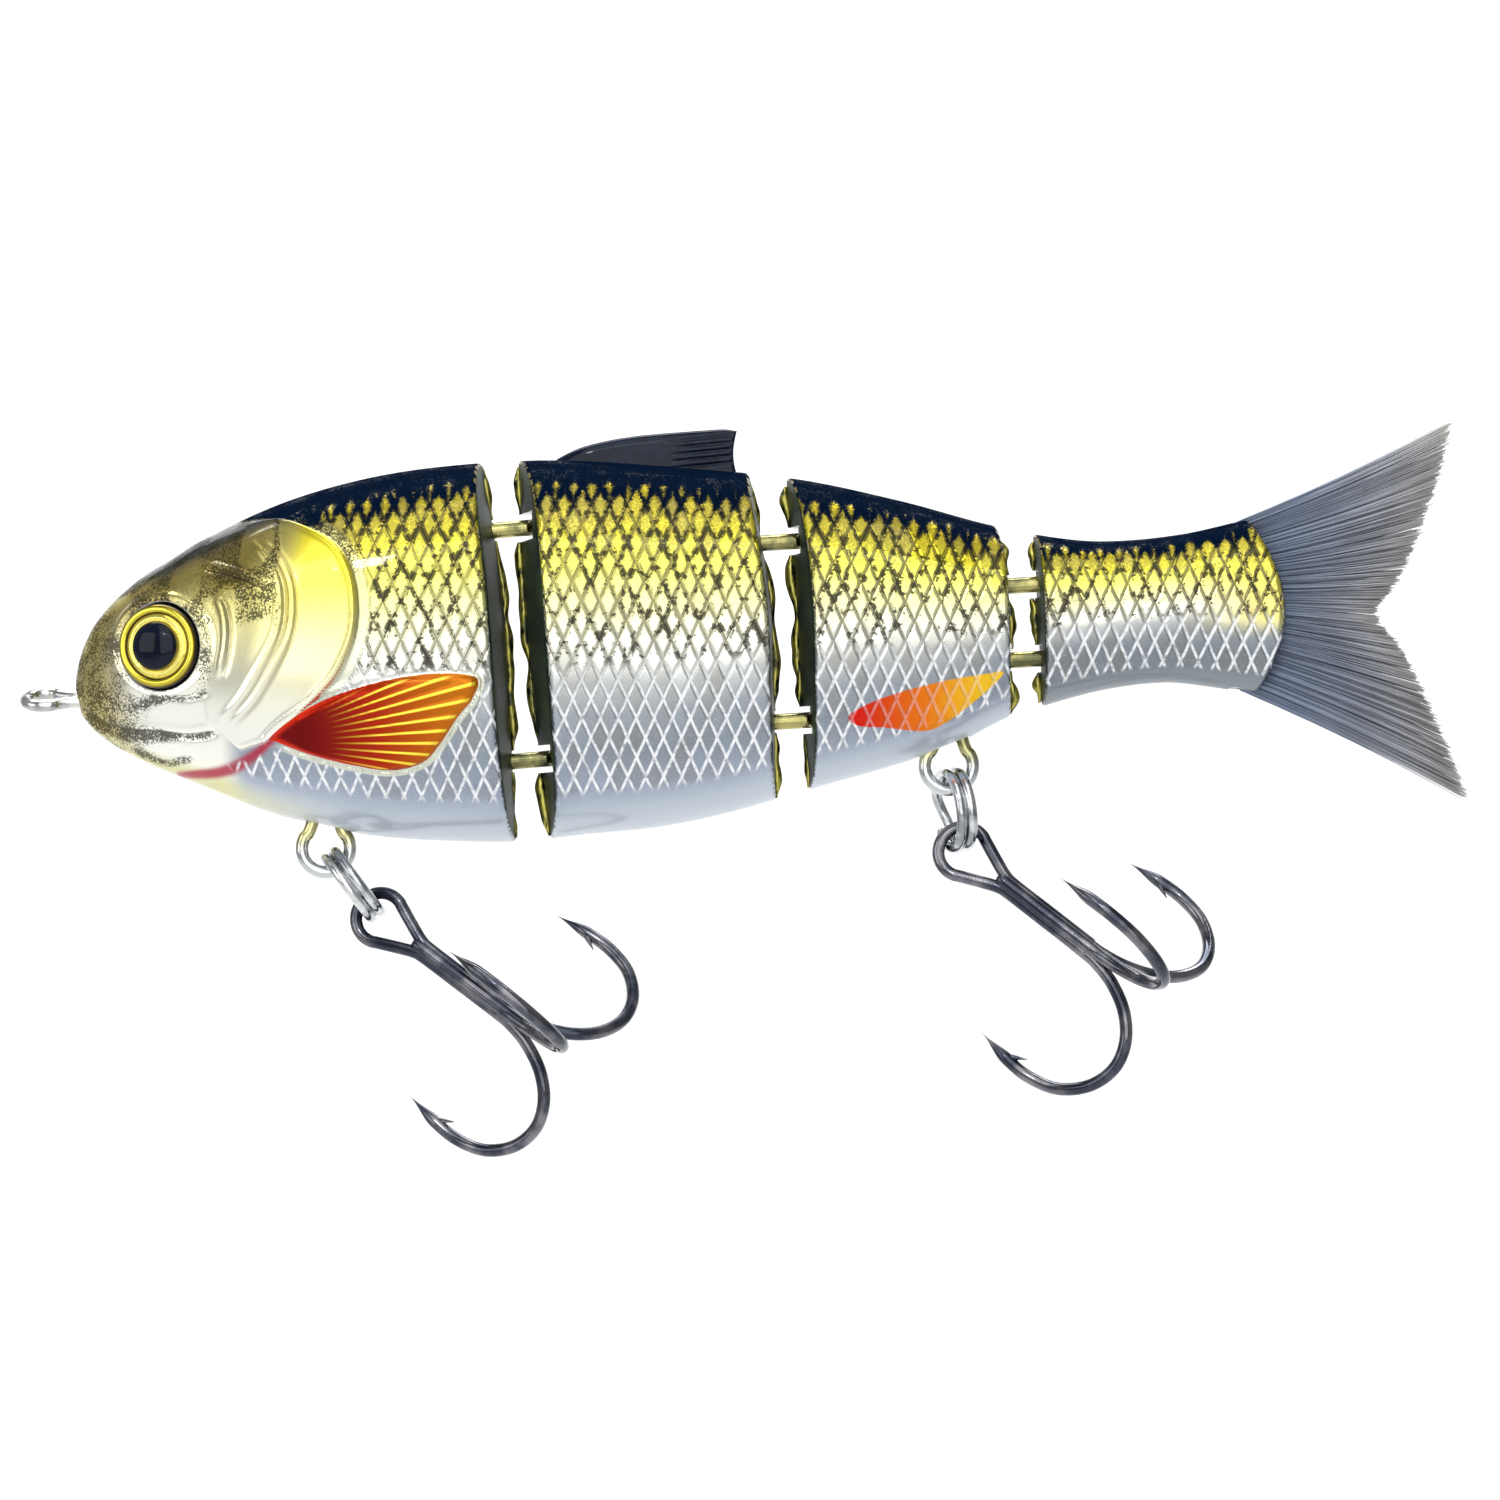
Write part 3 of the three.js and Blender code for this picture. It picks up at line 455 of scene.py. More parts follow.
def paint_head(x, z):
    """The head's paint: the flank's, with a bare gill cover, a speckled face and a pectoral fin, and with
    painted shade along its creases, a painted shadow inside the gill cover's edge and a painted highlight on
    the raised edge below the fin.
    """
    looks = paint_flank(x, z)
    gill, face = face_blend(x, z)
    height = looks["height"]
    gold = smooth(-8, 5, z - 5 + (x - 20) * 0.3)
    skin = over(np.broadcast_to(rgb(250, 250, 238), looks["colour"].shape), (248, 236, 120), gold * 0.85)
    skin = over(skin, (252, 236, 52), smooth(22, 25, x) * smooth(5, 12, z))
    brow = smooth(0.6, 0.86, height + 0.05 * np.sin(x * 0.8)) * smooth(26, 20, x)
    skin = over(skin, (150, 128, 44), 0.85 * brow)
    skin = over(skin, (214, 196, 96), smooth(10, 5, x + 0.1 * z) * 0.85)
    skin = over(skin, (18, 30, 44), smooth(0.84, 0.95, height - 0.1 * smooth(12, 6, x)) * 0.95)
    skin = over(skin, (226, 224, 168), smooth(-3.8, -5.6, z + 0.28 * (x - 8)) * smooth(26, 18, x) * 0.9)
    colour = looks["colour"] * (1 - face[..., None]) + skin * face[..., None]
    cream = smooth(0.1, 0.02, height) * smooth(29, 14, x)
    colour = over(colour, (226, 222, 164), cream * 0.85)
    # Painted shade: a dark olive line half a millimetre beside the gill cover's ridge and the cheek lines, in
    # the grooves that run along them.
    for line in (PREOPERCLE, CHEEK_CRESCENT, CHEEK_SLIT):
        away, along = from_line(curve_through(line), x, z)
        crease_shade = np.exp(-((away - 0.5) / 0.16) ** 2) * smooth(0, 0.12, along) * smooth(1, 0.88, along)
        colour = over(colour, (104, 92, 40), 0.65 * crease_shade)
    away, along = from_line(curve_through(BLUSH), x, z)
    colour = over(colour, (176, 14, 60), smooth(0.9, 0.3, away / (0.5 + 0.4 * np.sin(np.pi * along))) * 0.95)
    fin = inside_by(curve_through(PECTORAL, closed=True), x, z)
    # A painted shadow: a thin dark olive line just inside the gill cover's lower rear edge, where the raised
    # cover casts shade.
    gill_edge_shadow = np.exp(-((gill + 0.12) / 0.14) ** 2) * smooth(-3, 0, z) * smooth(20, 23, x)
    colour = over(colour, (96, 88, 44), gill_edge_shadow * 0.7)
    band = smooth(-1.3, -0.9, gill) * (1 - face) * smooth(-4, 0, z)
    colour = over(colour, (196, 196, 160), band * 0.5)
    pattern = smooth(0.1, 0.5, np.sin(x * 0.95 + 1.2) * np.cos(z * 0.7 - 0.35 * x + 0.6) + 0.42)
    upper = smooth(0.5, 0.7, height) * (0.5 + 0.5 * pattern) * smooth(23.6, 22.6, x + 0.05 * z)
    snout = smooth(13.5, 6.5, x + 0.25 * z) * smooth(-6, -4, z)
    behind_eye = smooth(17.4, 15.8, x) * smooth(14, 15, x) * smooth(0, 2, z) * smooth(9, 7, z) * 0.7
    lines = sum(ridge_line(line, 0.5, x, z) for line in (MOUTH, LIP, CHIN))
    looks["colour"] = colour
    face_speckle = np.maximum(upper, np.maximum(snout * 0.85, behind_eye)) * 0.95
    looks["speckle"] = np.clip(looks["speckle"] * (1 - face) + face * face_speckle + lines * 0.9, 0, 1)
    looks["scales"] = looks["scales"] * (1 - face) * smooth(0.0, -0.3, fin) * smooth(-0.9, -1.3, gill)
    looks["scales"] *= smooth(13, 18, x)
    looks["metal"] = looks["metal"] * (1 - 0.8 * smooth(0.84, 0.95, height) * face) * (1 - 0.9 * cream)
    looks["back"] = 1 - face
    looks["fin"] = np.clip(fin, -1, 1) + 1
    # A pale painted highlight along the raised edge below and behind the pectoral fin.
    looks["rim"] = smooth(-0.8, -0.6, fin) * smooth(1.2, -0.6, z - 1.6 + (x - 38) * -0.4)
    return looks


def relief_head(x, z):
    """What is moulded on the head: gill cover, its double ridge, cheek lines, mouth and pectoral fin."""
    gill, _ = face_blend(x, z)
    fin = inside_by(curve_through(PECTORAL, closed=True), x, z)
    reach = np.hypot(x - FIN_ROOT[0], z - FIN_ROOT[1])
    spread = np.arctan2(z - FIN_ROOT[1], x - FIN_ROOT[0])
    rays = np.cos(spread * 2 * np.pi / RAY_ANGLE)
    height = 0.5 * smooth(-0.05, 0.3, gill) * smooth(15, 22, x + 0.2 * np.abs(z - 7))
    height += 0.14 * np.exp(-((gill - 0.35) / 0.25) ** 2) * smooth(16, 19, x)
    for line, shift, width, rise in HEAD_RIDGES:
        height += rise * ridge_line(np.add(line, shift), width, x, z)
    height += 0.75 * smooth(-0.1, 0.45, fin) * smooth(0.5, 6, reach)
    height += 0.1 * rays * smooth(0.3, 0.8, fin) * smooth(4.5, 9, reach)
    height += 0.18 * np.exp(-((fin + 0.42) / 0.22) ** 2)
    top, bottom, _ = heights(x)
    return height * smooth(0.985, 0.9, (z - bottom) / np.maximum(top - bottom, 0.5))


def paint_rear(x, z):
    """The rear section's paint: the flank's, with a ventral fin painted red to orange."""
    looks = paint_flank(x, z)
    looks["patch"] = np.clip(inside_by(curve_through(VENTRAL_PATCH, closed=True), x, z), -1, 1) + 1
    return looks


def paint_tail(x, z):
    """The tail section's paint: the flank's, greyer below and stronger gold towards its end."""
    looks = paint_flank(x, z)
    looks["colour"] = over(looks["colour"], (118, 126, 130), smooth(0.42, 0.12, looks["height"]) * 0.8)
    gold = smooth(103, 112, x) * smooth(0.3, 0.45, looks["height"]) * smooth(0.88, 0.8, looks["height"])
    looks["colour"] = over(looks["colour"], (236, 220, 60), gold * 0.8)
    return looks


def relief_flank(x, z):
    """What is moulded on a plain flank: the fine raised lateral line."""
    return 0.08 * ridge_line(LATERAL_LINE, 0.16, x, z, 0.01)


def box_mesh(low, high):
    """Corner points and faces of a box."""
    corners = np.array([[x, y, z] for x, y, z in itertools.product(*zip(low, high))])
    return corners, [(0, 1, 3, 2), (4, 6, 7, 5), (0, 4, 5, 1), (2, 3, 7, 6), (0, 2, 6, 4), (1, 5, 7, 3)]


def disc_mesh(centre, axis, radius, start, end, sides=64):
    """Points and faces of a round cutter along an axis."""
    axis = np.array(axis, float) / np.linalg.norm(axis)
    across = np.cross(axis, (0, 0, 1)) if abs(axis[2]) < 0.9 else np.cross(axis, (1, 0, 0))
    across /= np.linalg.norm(across)
    turn = np.linspace(0, 2 * np.pi, sides, endpoint=False)[:, None]
    ring = np.cos(turn) * across + np.sin(turn) * np.cross(axis, across)
    points = np.concatenate([np.array(centre) + radius * ring + axis * d for d in (start, end)])
    faces = list(grid_faces(2, sides, wrap=True)) + [range(sides)[::-1], range(sides, 2 * sides)]
    return points, faces


def cut(piece, cutters):
    """Takes closed cutters, given as points in mm and faces, out of a piece."""
    points, faces = [], []
    for corner_points, cutter_faces in cutters:
        first = sum(len(p) for p in points)
        points.append(corner_points)
        faces += [[first + i for i in f] for f in cutter_faces]
    knife = show("knife", np.concatenate(points), faces)
    tidy = bmesh.new()
    tidy.from_mesh(knife.data)
    bmesh.ops.recalc_face_normals(tidy, faces=tidy.faces)
    tidy.to_mesh(knife.data)
    tidy.free()
    step = piece.modifiers.new("cut", "BOOLEAN")
    step.solver = "MANIFOLD"
    step.operation = "DIFFERENCE"
    step.object = knife
    result = bpy.data.meshes.new_from_object(piece.evaluated_get(bpy.context.evaluated_depsgraph_get()))
    piece.modifiers.clear()
    piece.data = result
    bpy.data.objects.remove(knife)


def half_shell(name, side, front, rear, along, around, relief, paint, cutters):
    """One closed half shell: the relief raised on its flank, two bevelled end faces and a flat glued face."""
    base = flank(front, rear, along, around)
    x, z = base[..., 0], base[..., 2]
    looks = paint(x, z)
    height = relief(x, z)
    for row, face in ((0, front), (-1, rear)):
        if face:
            near = np.clip(np.abs(x - x[row]) / RIM_ROUND, 0, 1)
            height -= RIM_ROUND * (1 - np.sqrt(1 - (1 - near) ** 2)) * 0.7
    grid = raised(base, height)
    parts, faces, kinds = [grid], list(grid_faces(along, around)), [0] * ((along - 1) * (around - 1))
    edges = []
    for row, face in ((0, front), (-1, rear)):
        if not face:
            edges.append([])
            continue
        grid[row, :, 0] = face(grid[row, :, 1], grid[row, :, 2])
        inward = np.linspace(1, 0, 9)[:, None]
        y = grid[row, :, 1] * inward
        z_face = np.broadcast_to(grid[row, :, 2], y.shape)
        first = sum(p.shape[0] * p.shape[1] for p in parts)
        parts.append(np.stack([face(y, z_face), y, z_face], axis=-1))
        faces += list(grid_faces(9, around, first))
        kinds += [1] * (8 * (around - 1))
        edges.append(list(range(first + 8 * around + 1, first + 9 * around - 1)))
    top = [row * around for row in range(along)]
    bottom = [row * around + around - 1 for row in range(along)]
    loop = top + edges[1] + bottom[::-1] + edges[0][::-1]
    faces.append(loop)
    kinds.append(2)
    points = np.concatenate([p.reshape(-1, 3) for p in parts]) * (1, side, 1)
    piece = show(name, points, faces, SKIN, END_FACE, BARE)
    mesh = piece.data
    mesh.polygons.foreach_set("material_index", kinds)
    spare = len(points) - along * around
    for key, values in looks.items():
        kind = "FLOAT_COLOR" if key == "colour" else "FLOAT"
        flat = np.concatenate([values.reshape(along * around, -1), np.zeros((spare, values[0, 0].size))])
        layer = mesh.attributes.new(key, kind, "POINT")
        layer.data.foreach_set("color" if key == "colour" else "value", flat.ravel())
    tidy = bmesh.new()
    tidy.from_mesh(mesh)
    bmesh.ops.remove_doubles(tidy, verts=tidy.verts, dist=1e-6)
    bmesh.ops.dissolve_degenerate(tidy, edges=tidy.edges, dist=1e-7)
    bmesh.ops.recalc_face_normals(tidy, faces=tidy.faces)
    tidy.to_mesh(mesh)
    tidy.free()
    cut(piece, cutters)
    return piece


def make_skin():
    """Plated and painted plastic under clear lacquer: diamond scales in a net of lines, painted dark on the
    gold as shade in their grooves and white on the silver as highlight along them;
    black speckle; a black back that ends among the scales; fins with fine rays; a pale painted highlight on
    the raised edge below the pectoral fin."""
    made, tree, surface = material("painted_skin", coat_roughness=0.03, specular_ior_level=0.0)
    place = node(tree, "ShaderNodeTexCoord", output=3)
    x, z = (node(tree, "ShaderNodeSeparateXYZ", {}, {0: place}, axis) / MM for axis in (0, 2))
    colour = node(tree, "ShaderNodeAttribute", {"attribute_name": "colour"})
    height, metal, scales, speckle, back, fin, rim, patch = (
        node(tree, "ShaderNodeAttribute", {"attribute_name": key}, output=2)
        for key in ("height", "metal", "scales", "speckle", "back", "fin", "rim", "patch"))
    wander = node(tree, "ShaderNodeTexNoise", {}, {"Vector": place, "Scale": 700.0, "Detail": 2.0}) - 0.5
    rough = {"Vector": place, "Detail": 3.0}
    fine = node(tree, "ShaderNodeTexNoise", {}, {**rough, "Scale": 5200.0, "Roughness": 0.7})
    coarse = node(tree, "ShaderNodeTexNoise", {}, {"Vector": place, "Scale": 520.0, "Detail": 3.0})
    rising = x / SCALE_WIDE + z / SCALE_TALL + wander * 0.1
    falling = x / SCALE_WIDE - z / SCALE_TALL + wander * 0.1
    steps = [each.math("FRACT") for each in (rising, falling)]
    folds = [(each - 0.5).math("ABSOLUTE") * 2 for each in steps]
    net = folds[0].math("MAXIMUM", folds[1])
    cell = node(tree, "ShaderNodeCombineXYZ", {}, {0: rising.math("FLOOR"), 1: falling.math("FLOOR")})
    chance = node(tree, "ShaderNodeTexWhiteNoise", {"noise_dimensions": "2D"}, {"Vector": cell})
    gold_zone = (height + wander * 0.06).ramp(0.36, 0.5)
    groove_shade = net.ramp(0.86, 0.95) * scales
    broad = net.ramp(0.74, 0.9) * scales
    flecks = node(tree, "ShaderNodeTexNoise", {}, {**rough, "Scale": 1500.0, "Roughness": 0.65})
    patches = (coarse * 0.5 + flecks * 0.8 + speckle * 0.08).ramp(0.69, 0.73) * speckle.ramp(0.05, 0.2)
    grain = (fine * 0.7 + coarse * 0.3 + speckle * 0.16).ramp(0.59, 0.65) * speckle.ramp(0.3, 0.7)
    black = (net.ramp(0.4, 0.7) * scales * patches).math("MAXIMUM", grain * (1 - scales * 0.6))
    dim = (chance - 0.5) * 0.5 + (chance * 9.7).math("FRACT") * 0.2
    shade = (scales * dim.math("MAXIMUM", 0.0)).mix(colour, rgb(120, 112, 90))
    # Painted shade: the net of lines darkened on the gold, as the scales' grooves look in shade.
    shade = (groove_shade * gold_zone * (0.55 + coarse * 0.5)).mix(shade, rgb(84, 74, 16))
    # A painted highlight: the net of lines turned white on the silver, where the grooves' edges catch the
    # light.
    shade = (broad * (1 - gold_zone) * flecks.ramp(0.2, 0.6)).mix(shade, rgb(250, 252, 254))
    shade = (scales * (1 - gold_zone) * fine.ramp(0.55, 0.75) * 0.45).mix(shade, rgb(236, 240, 246))
    shade = (black * 0.88).mix(shade, rgb(34, 32, 20))
    ragged = (net - 0.6) * scales * 0.08 + (coarse - 0.5) * 0.14 + (fine - 0.5) * 0.1
    navy = (height + ragged).ramp(0.865, 0.925) * back
    shade = navy.mix(shade, rgb(6, 20, 40))
    across, rise = x - FIN_ROOT[0], z - FIN_ROOT[1]
    reach = (across * across + rise * rise).math("SQRT")
    ray = (rise.math("ARCTAN2", across) * (2 * np.pi / RAY_ANGLE)).math("COSINE").ramp(0.5, 0.95)
    ray = ray * reach.ramp(6.5, 12.5) * fin.ramp(1.15, 1.4)
    fin_shade = reach.ramp(4.0, 12.0).mix(rgb(112, 0, 4), rgb(172, 34, 4))
    fin_shade = reach.ramp(10.0, 19.0).mix(fin_shade, rgb(196, 110, 10))
    fin_shade = (ray * 0.95).mix(fin_shade, rgb(255, 226, 70))
    fin_edge = (1 - fin.ramp(1.1, 1.75)) * (1 - reach.ramp(7.0, 15.0)) * 0.9
    fin_shade = fin_edge.mix(fin_shade, rgb(226, 44, 10))
    # A painted highlight: pale colour on the raised edge below and behind the pectoral fin.
    shade = (rim * fin.ramp(0.42, 0.5) * 0.85).mix(shade, rgb(222, 226, 206))
    fin_mask = fin.ramp(0.97, 1.05)
    shade = fin_mask.mix(shade, fin_shade)
    patch_shade = (x + wander * 1.5).ramp(74.0, 81.0).mix(rgb(216, 22, 8), rgb(236, 118, 14))
    patch_shade = (x + wander * 1.5).ramp(79.5, 86.5).mix(patch_shade, rgb(250, 200, 40))
    patch_mask = (patch + fine * 0.08).ramp(1.0, 1.12)
    shade = (patch_mask * (1 - broad * 0.2)).mix(shade, patch_shade)
    tilt = (steps[0] - 0.5) * (chance - 0.5) + (steps[1] - 0.5) * ((chance * 7.31).math("FRACT") - 0.5)
    shape = ((1 - net.ramp(0.6, 1.0)) * 0.9 + tilt * 1.1) * scales + fine * 0.06 + black * 0.1
    bump = node(tree, "ShaderNodeBump", {}, {"Strength": 0.7, "Distance": 0.12 * MM, "Height": shape})
    whole = metal * (1 - black * 0.9) * (1 - navy * 0.9) * (1 - broad * (1 - gold_zone) * 0.55)
    lacquer = (0.85 - navy * 0.75 - black * 0.5) * (1 - fin_mask * 0.75) * (1 - patch_mask * 0.7)
    drive(tree, surface, base_color=shade, metallic=whole * (1 - fin_mask * 0.35) * (1 - patch_mask * 0.6),
          roughness=0.2 + black * 0.3 + fine * 0.08, coat_weight=lacquer, normal=bump)
    return made


def make_end_face():
    """Chrome on the bevelled end faces, where the plating is bare of paint, painted dark: its dark olive base
    colour is painted shade for the dark surroundings that these faces reflect.
    """
    made, tree, surface = material("chrome_painted_dark_as_shade", metallic=0.25, specular_ior_level=0.12)
    place = node(tree, "ShaderNodeTexCoord", output=3)
    cloud = node(tree, "ShaderNodeTexNoise", {}, {"Vector": place, "Scale": 260.0, "Detail": 3.0})
    # Painted shade: dark olive where the chrome would show its dark surroundings.
    shade = cloud.ramp(0.35, 0.7).mix(rgb(30, 46, 42), rgb(66, 80, 58))
    drive(tree, surface, base_color=shade, roughness=0.3 + cloud * 0.2)
    return made


def make_bare():
    """Bare grey ABS on the glued faces."""
    made, tree, surface = material("bare_abs", base_color=rgb(96, 98, 94))
    grain = node(tree, "ShaderNodeTexNoise", {}, {"Scale": 900.0})
    drive(tree, surface, roughness=0.45 + grain * 0.2)
    return made


SKIN = make_skin()
END_FACE = make_end_face()
BARE = make_bare()
HEAD_REAR = end_face([(-13, 43.1), (9, 42), (21.6, 40)], 7, BACKWARD)
MID_FRONT = end_face([(-12.6, 46.2), (0, 44.6), (9, 43.8), (21.8, 43.3)], 13, FRONTWARD)
MID_REAR = end_face([(-9.8, 66.9), (0, 66.75), (9, 66.4), (20.8, 64.4)], 3, BACKWARD)
REAR_FRONT = end_face([(-7.3, 69.85), (0.5, 69.1), (8.6, 68.7), (19, 67.85)], 11, FRONTWARD)
REAR_REAR = end_face([(-1, 88.35), (6.5, 88.3), (12.6, 87.9), (16, 87)], 3, BACKWARD)
TAIL_FRONT = end_face([(-0.4, 91.2), (7.5, 90.65), (15, 90.4)], 7, FRONTWARD)

# Each hinge as its pin's middle in mm, its tilt in degrees, half the distance between its links, and half the
# width of the slots.
HINGES = {
    "front": ((47.1, 0, 5.35), 4.9, 10.6, 5.6),
    "middle": ((71.3, 0, 6.45), 3.5, 8.2, 4.2),
    "back": ((93.2, 0, 7.3), 3.4, 3.4, 2.55),
}
LINK_R = 0.75
LINK_EYE_R = 1.5
LINK_LONG = 12.4
SLOT_FORWARD = 8
SLOT_HALF_HEIGHT = 1.25


def at_hinge(name, points):
    """Points given in a hinge's own frame, its pin on z and its links running to -x, turned into place."""
    middle_point, tilt, _, _ = HINGES[name]
    turn = np.array(Matrix.Rotation(-np.radians(tilt), 3, "Y"))
    return np.asarray(points) @ turn.T + middle_point


def link_bores(name):
    """Bores for a hinge's links in the section ahead of it."""
    apart = HINGES[name][2]
    bores = [disc_mesh((0, 0, s * apart), (-1, 0, 0), LINK_R + 0.25, 0, LINK_LONG + 1.2, 24) for s in (-1, 1)]
    return [(at_hinge(name, points), faces) for points, faces in bores]


def link_slots(name):
    """Wide slots for a hinge's links in the section behind it, so that the links can swing."""
    _, _, apart, half = HINGES[name]
    low = (-SLOT_FORWARD, -half, -SLOT_HALF_HEIGHT)
    high = (LINK_EYE_R + LINK_R + 0.35, half, SLOT_HALF_HEIGHT)
    slots = [box_mesh(np.add(low, (0, 0, s * apart)), np.add(high, (0, 0, s * apart))) for s in (-1, 1)]
    return [(at_hinge(name, points), faces) for points, faces in slots]


def hanger_notch(x, z, top):
    """The notch, as high as top, that a hook hanger's legs stand in."""
    return [box_mesh((x - 1.85, -0.9, z - 1), (x + 1.85, 0.9, top))]


def eye_seat(side):
    """The middle of the eye disc's back and the way the eye looks, in mm."""
    angle = np.linspace(0, np.pi, 2001)
    y, z = half_section(np.full(2001, EYE_X), angle)
    y = np.interp(EYE_Z, z[::-1], y[::-1])
    axis = np.array([-np.sin(EYE_FORWARD), side * np.cos(EYE_FORWARD), 0])
    return np.array([EYE_X, side * y, EYE_Z]) - 1.15 * axis, axis


def socket_cutter(side):
    """The round socket of one eye."""
    seat, axis = eye_seat(side)
    return disc_mesh(seat, axis, SOCKET_R, -0.3, 8)


def relief_head_with_rim(x, z):
    """The head's relief with a raised rim round the eye's socket."""
    seat, axis = eye_seat(1)
    across = np.hypot((x - seat[0]) * np.cos(EYE_FORWARD) * 1.04, z - seat[2])
    rim = 0.22 * np.exp(-((across - 4.55) / 0.38) ** 2)
    return relief_head(x, z) * smooth(4.4, 5.2, across) + rim


# Each section as its end faces, its points along and around, its relief and paint, and what is cut out of it.
SECTIONS = {
    "head": (None, HEAD_REAR, 270, 200, relief_head_with_rim, paint_head,
             link_bores("front") + hanger_notch(25.7, -13.6, -7.5)
             + [disc_mesh((0, 0, 0), (1, 0, 0), 1.25, 0, 11, 32)]),
    "mid": (MID_FRONT, MID_REAR, 120, 150, relief_flank, paint_flank,
            link_slots("front") + link_bores("middle") + [box_mesh((45.6, -1.05, 20.2), (63.2, 1.05, 30))]),
    "rear": (REAR_FRONT, REAR_REAR, 110, 130, relief_flank, paint_rear,
             link_slots("middle") + link_bores("back") + hanger_notch(82.7, -6.05, 0)),
    "tail": (TAIL_FRONT, tail_end, 110, 110, relief_flank, paint_tail,
             link_slots("back") + [box_mesh((105.5, -1.6, 2.4), (120, 1.6, 14.9)),
                                   disc_mesh((109, 0, -3), (0, 0, 1), 0.85, 0, 6, 24)]),
}
BODY_OF = {"head": "head", "mid": "mid_section", "rear": "rear_section", "tail": "tail_section"}
for section, (front, rear, along, around, relief, paint, cutters) in SECTIONS.items():
    for word, side in (("left", -1), ("right", 1)):
        extra = [socket_cutter(side)] if section == "head" else []
        shell = half_shell(f"{section}_{word}_half", side, front, rear, along, around, relief, paint,
                           cutters + extra)
        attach(shell, BODY_OF[section])
        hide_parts(f"{section}_shell_{word}")

# ----------------------------------------------------------------------------------------------------------
# Seam beads: the plating leaves a rough fin of flash where the two halves meet on each bevelled face. It runs
# along the ridge and is broken off wherever a hinge wire comes through.

# Each bead as its section, its end face, the way that face looks along x, about where it is, and its hinge.
SEAM_BEADS = {
    "head_rear": ("head", HEAD_REAR, 1, 42.4, "front"), "mid_front": ("mid", MID_FRONT, -1, 45, "front"),
    "mid_rear": ("mid", MID_REAR, 1, 66, "middle"), "rear_front": ("rear", REAR_FRONT, -1, 69.2, "middle"),
    "rear_rear": ("rear", REAR_REAR, 1, 88, "back"), "tail_front": ("tail", TAIL_FRONT, -1, 91, "back"),
}


def tube(path, radius, flat, sides=16, squash=1.0, closed=False):
    """A wire along a path that lies near one plane, whose normal is flat. Its section is an ellipse of radius
    along flat and of radius times squash across it; each end of an open wire is closed by a face."""
    path = np.asarray(path, float)
    radius = np.broadcast_to(radius, len(path))
    if closed:
        along = np.roll(path, -1, 0) - np.roll(path, 1, 0)
    else:
        along = np.gradient(path, axis=0)
    along /= np.linalg.norm(along, axis=1, keepdims=True)
    out = np.cross(along, np.broadcast_to(flat, path.shape))
    out /= np.linalg.norm(out, axis=1, keepdims=True)
    up = np.cross(out, along)
    turn = np.linspace(0, 2 * np.pi, sides, endpoint=False)[None, :, None]
    ring = np.cos(turn) * up[:, None] + squash * np.sin(turn) * out[:, None]
    points = path[:, None] + radius[:, None, None] * ring
    rows = len(path)
    if closed:
        wrapped = grid_faces(rows + 1, sides, wrap=True) % (rows * sides)
        return points.reshape(-1, 3), [list(f) for f in wrapped]
    faces = [list(f) for f in grid_faces(rows, sides, wrap=True)]
    faces += [list(range(sides))[::-1], list(range((rows - 1) * sides, rows * sides))]
    return points.reshape(-1, 3), faces


def round_ends(path, radius, steps=5):
    """The path and radii of an open wire with a half-round at each end."""
    path = np.asarray(path, float)
    radius = np.broadcast_to(radius, len(path)).astype(float)
    turn = np.linspace(0.12, np.pi / 2, steps)
    ends = []
    for tip, inner in ((0, 1), (-1, -2)):
        out = path[tip] - path[inner]
        out /= np.linalg.norm(out)
        ends.append((path[tip] + out * radius[tip] * np.cos(turn)[:, None], radius[tip] * np.sin(turn)))
    first, last = ends
    return (np.concatenate([first[0], path[1:-1] if len(path) > 2 else path[:0], last[0][::-1]]),
            np.concatenate([first[1], radius[1:-1], last[1][::-1]]))


def joined(*parts):
    """Several (points, faces) as one."""
    points, faces, first = [], [], 0
    for part_points, part_faces in parts:
        points.append(part_points)
        faces += [[first + i for i in f] for f in part_faces]
        first += len(part_points)
    return np.concatenate(points), faces


def outward(piece):
    """Turns every face of a closed piece outwards."""
    work = bmesh.new()
    work.from_mesh(piece.data)
    bmesh.ops.recalc_face_normals(work, faces=work.faces)
    work.to_mesh(piece.data)
    work.free()
    return piece


def make_flash():
    """Rough olive-gold plating."""
    made, tree, surface = material("plated_flash", metallic=0.85, coat_weight=0.4)
    place = node(tree, "ShaderNodeTexCoord", output=3)
    drawn = node(tree, "ShaderNodeMapping", {}, {"Vector": place, "Scale": (1.0, 1.0, 0.22)})
    grain = node(tree, "ShaderNodeTexNoise", {}, {"Vector": drawn, "Scale": 3200.0, "Detail": 3.0})
    shade = grain.ramp(0.38, 0.56).mix(rgb(48, 56, 32), rgb(190, 182, 84))
    bump = node(tree, "ShaderNodeBump", {}, {"Strength": 0.45, "Distance": 0.1 * MM, "Height": grain})
    drive(tree, surface, base_color=shade, roughness=0.16 + grain * 0.3, normal=bump)
    return made


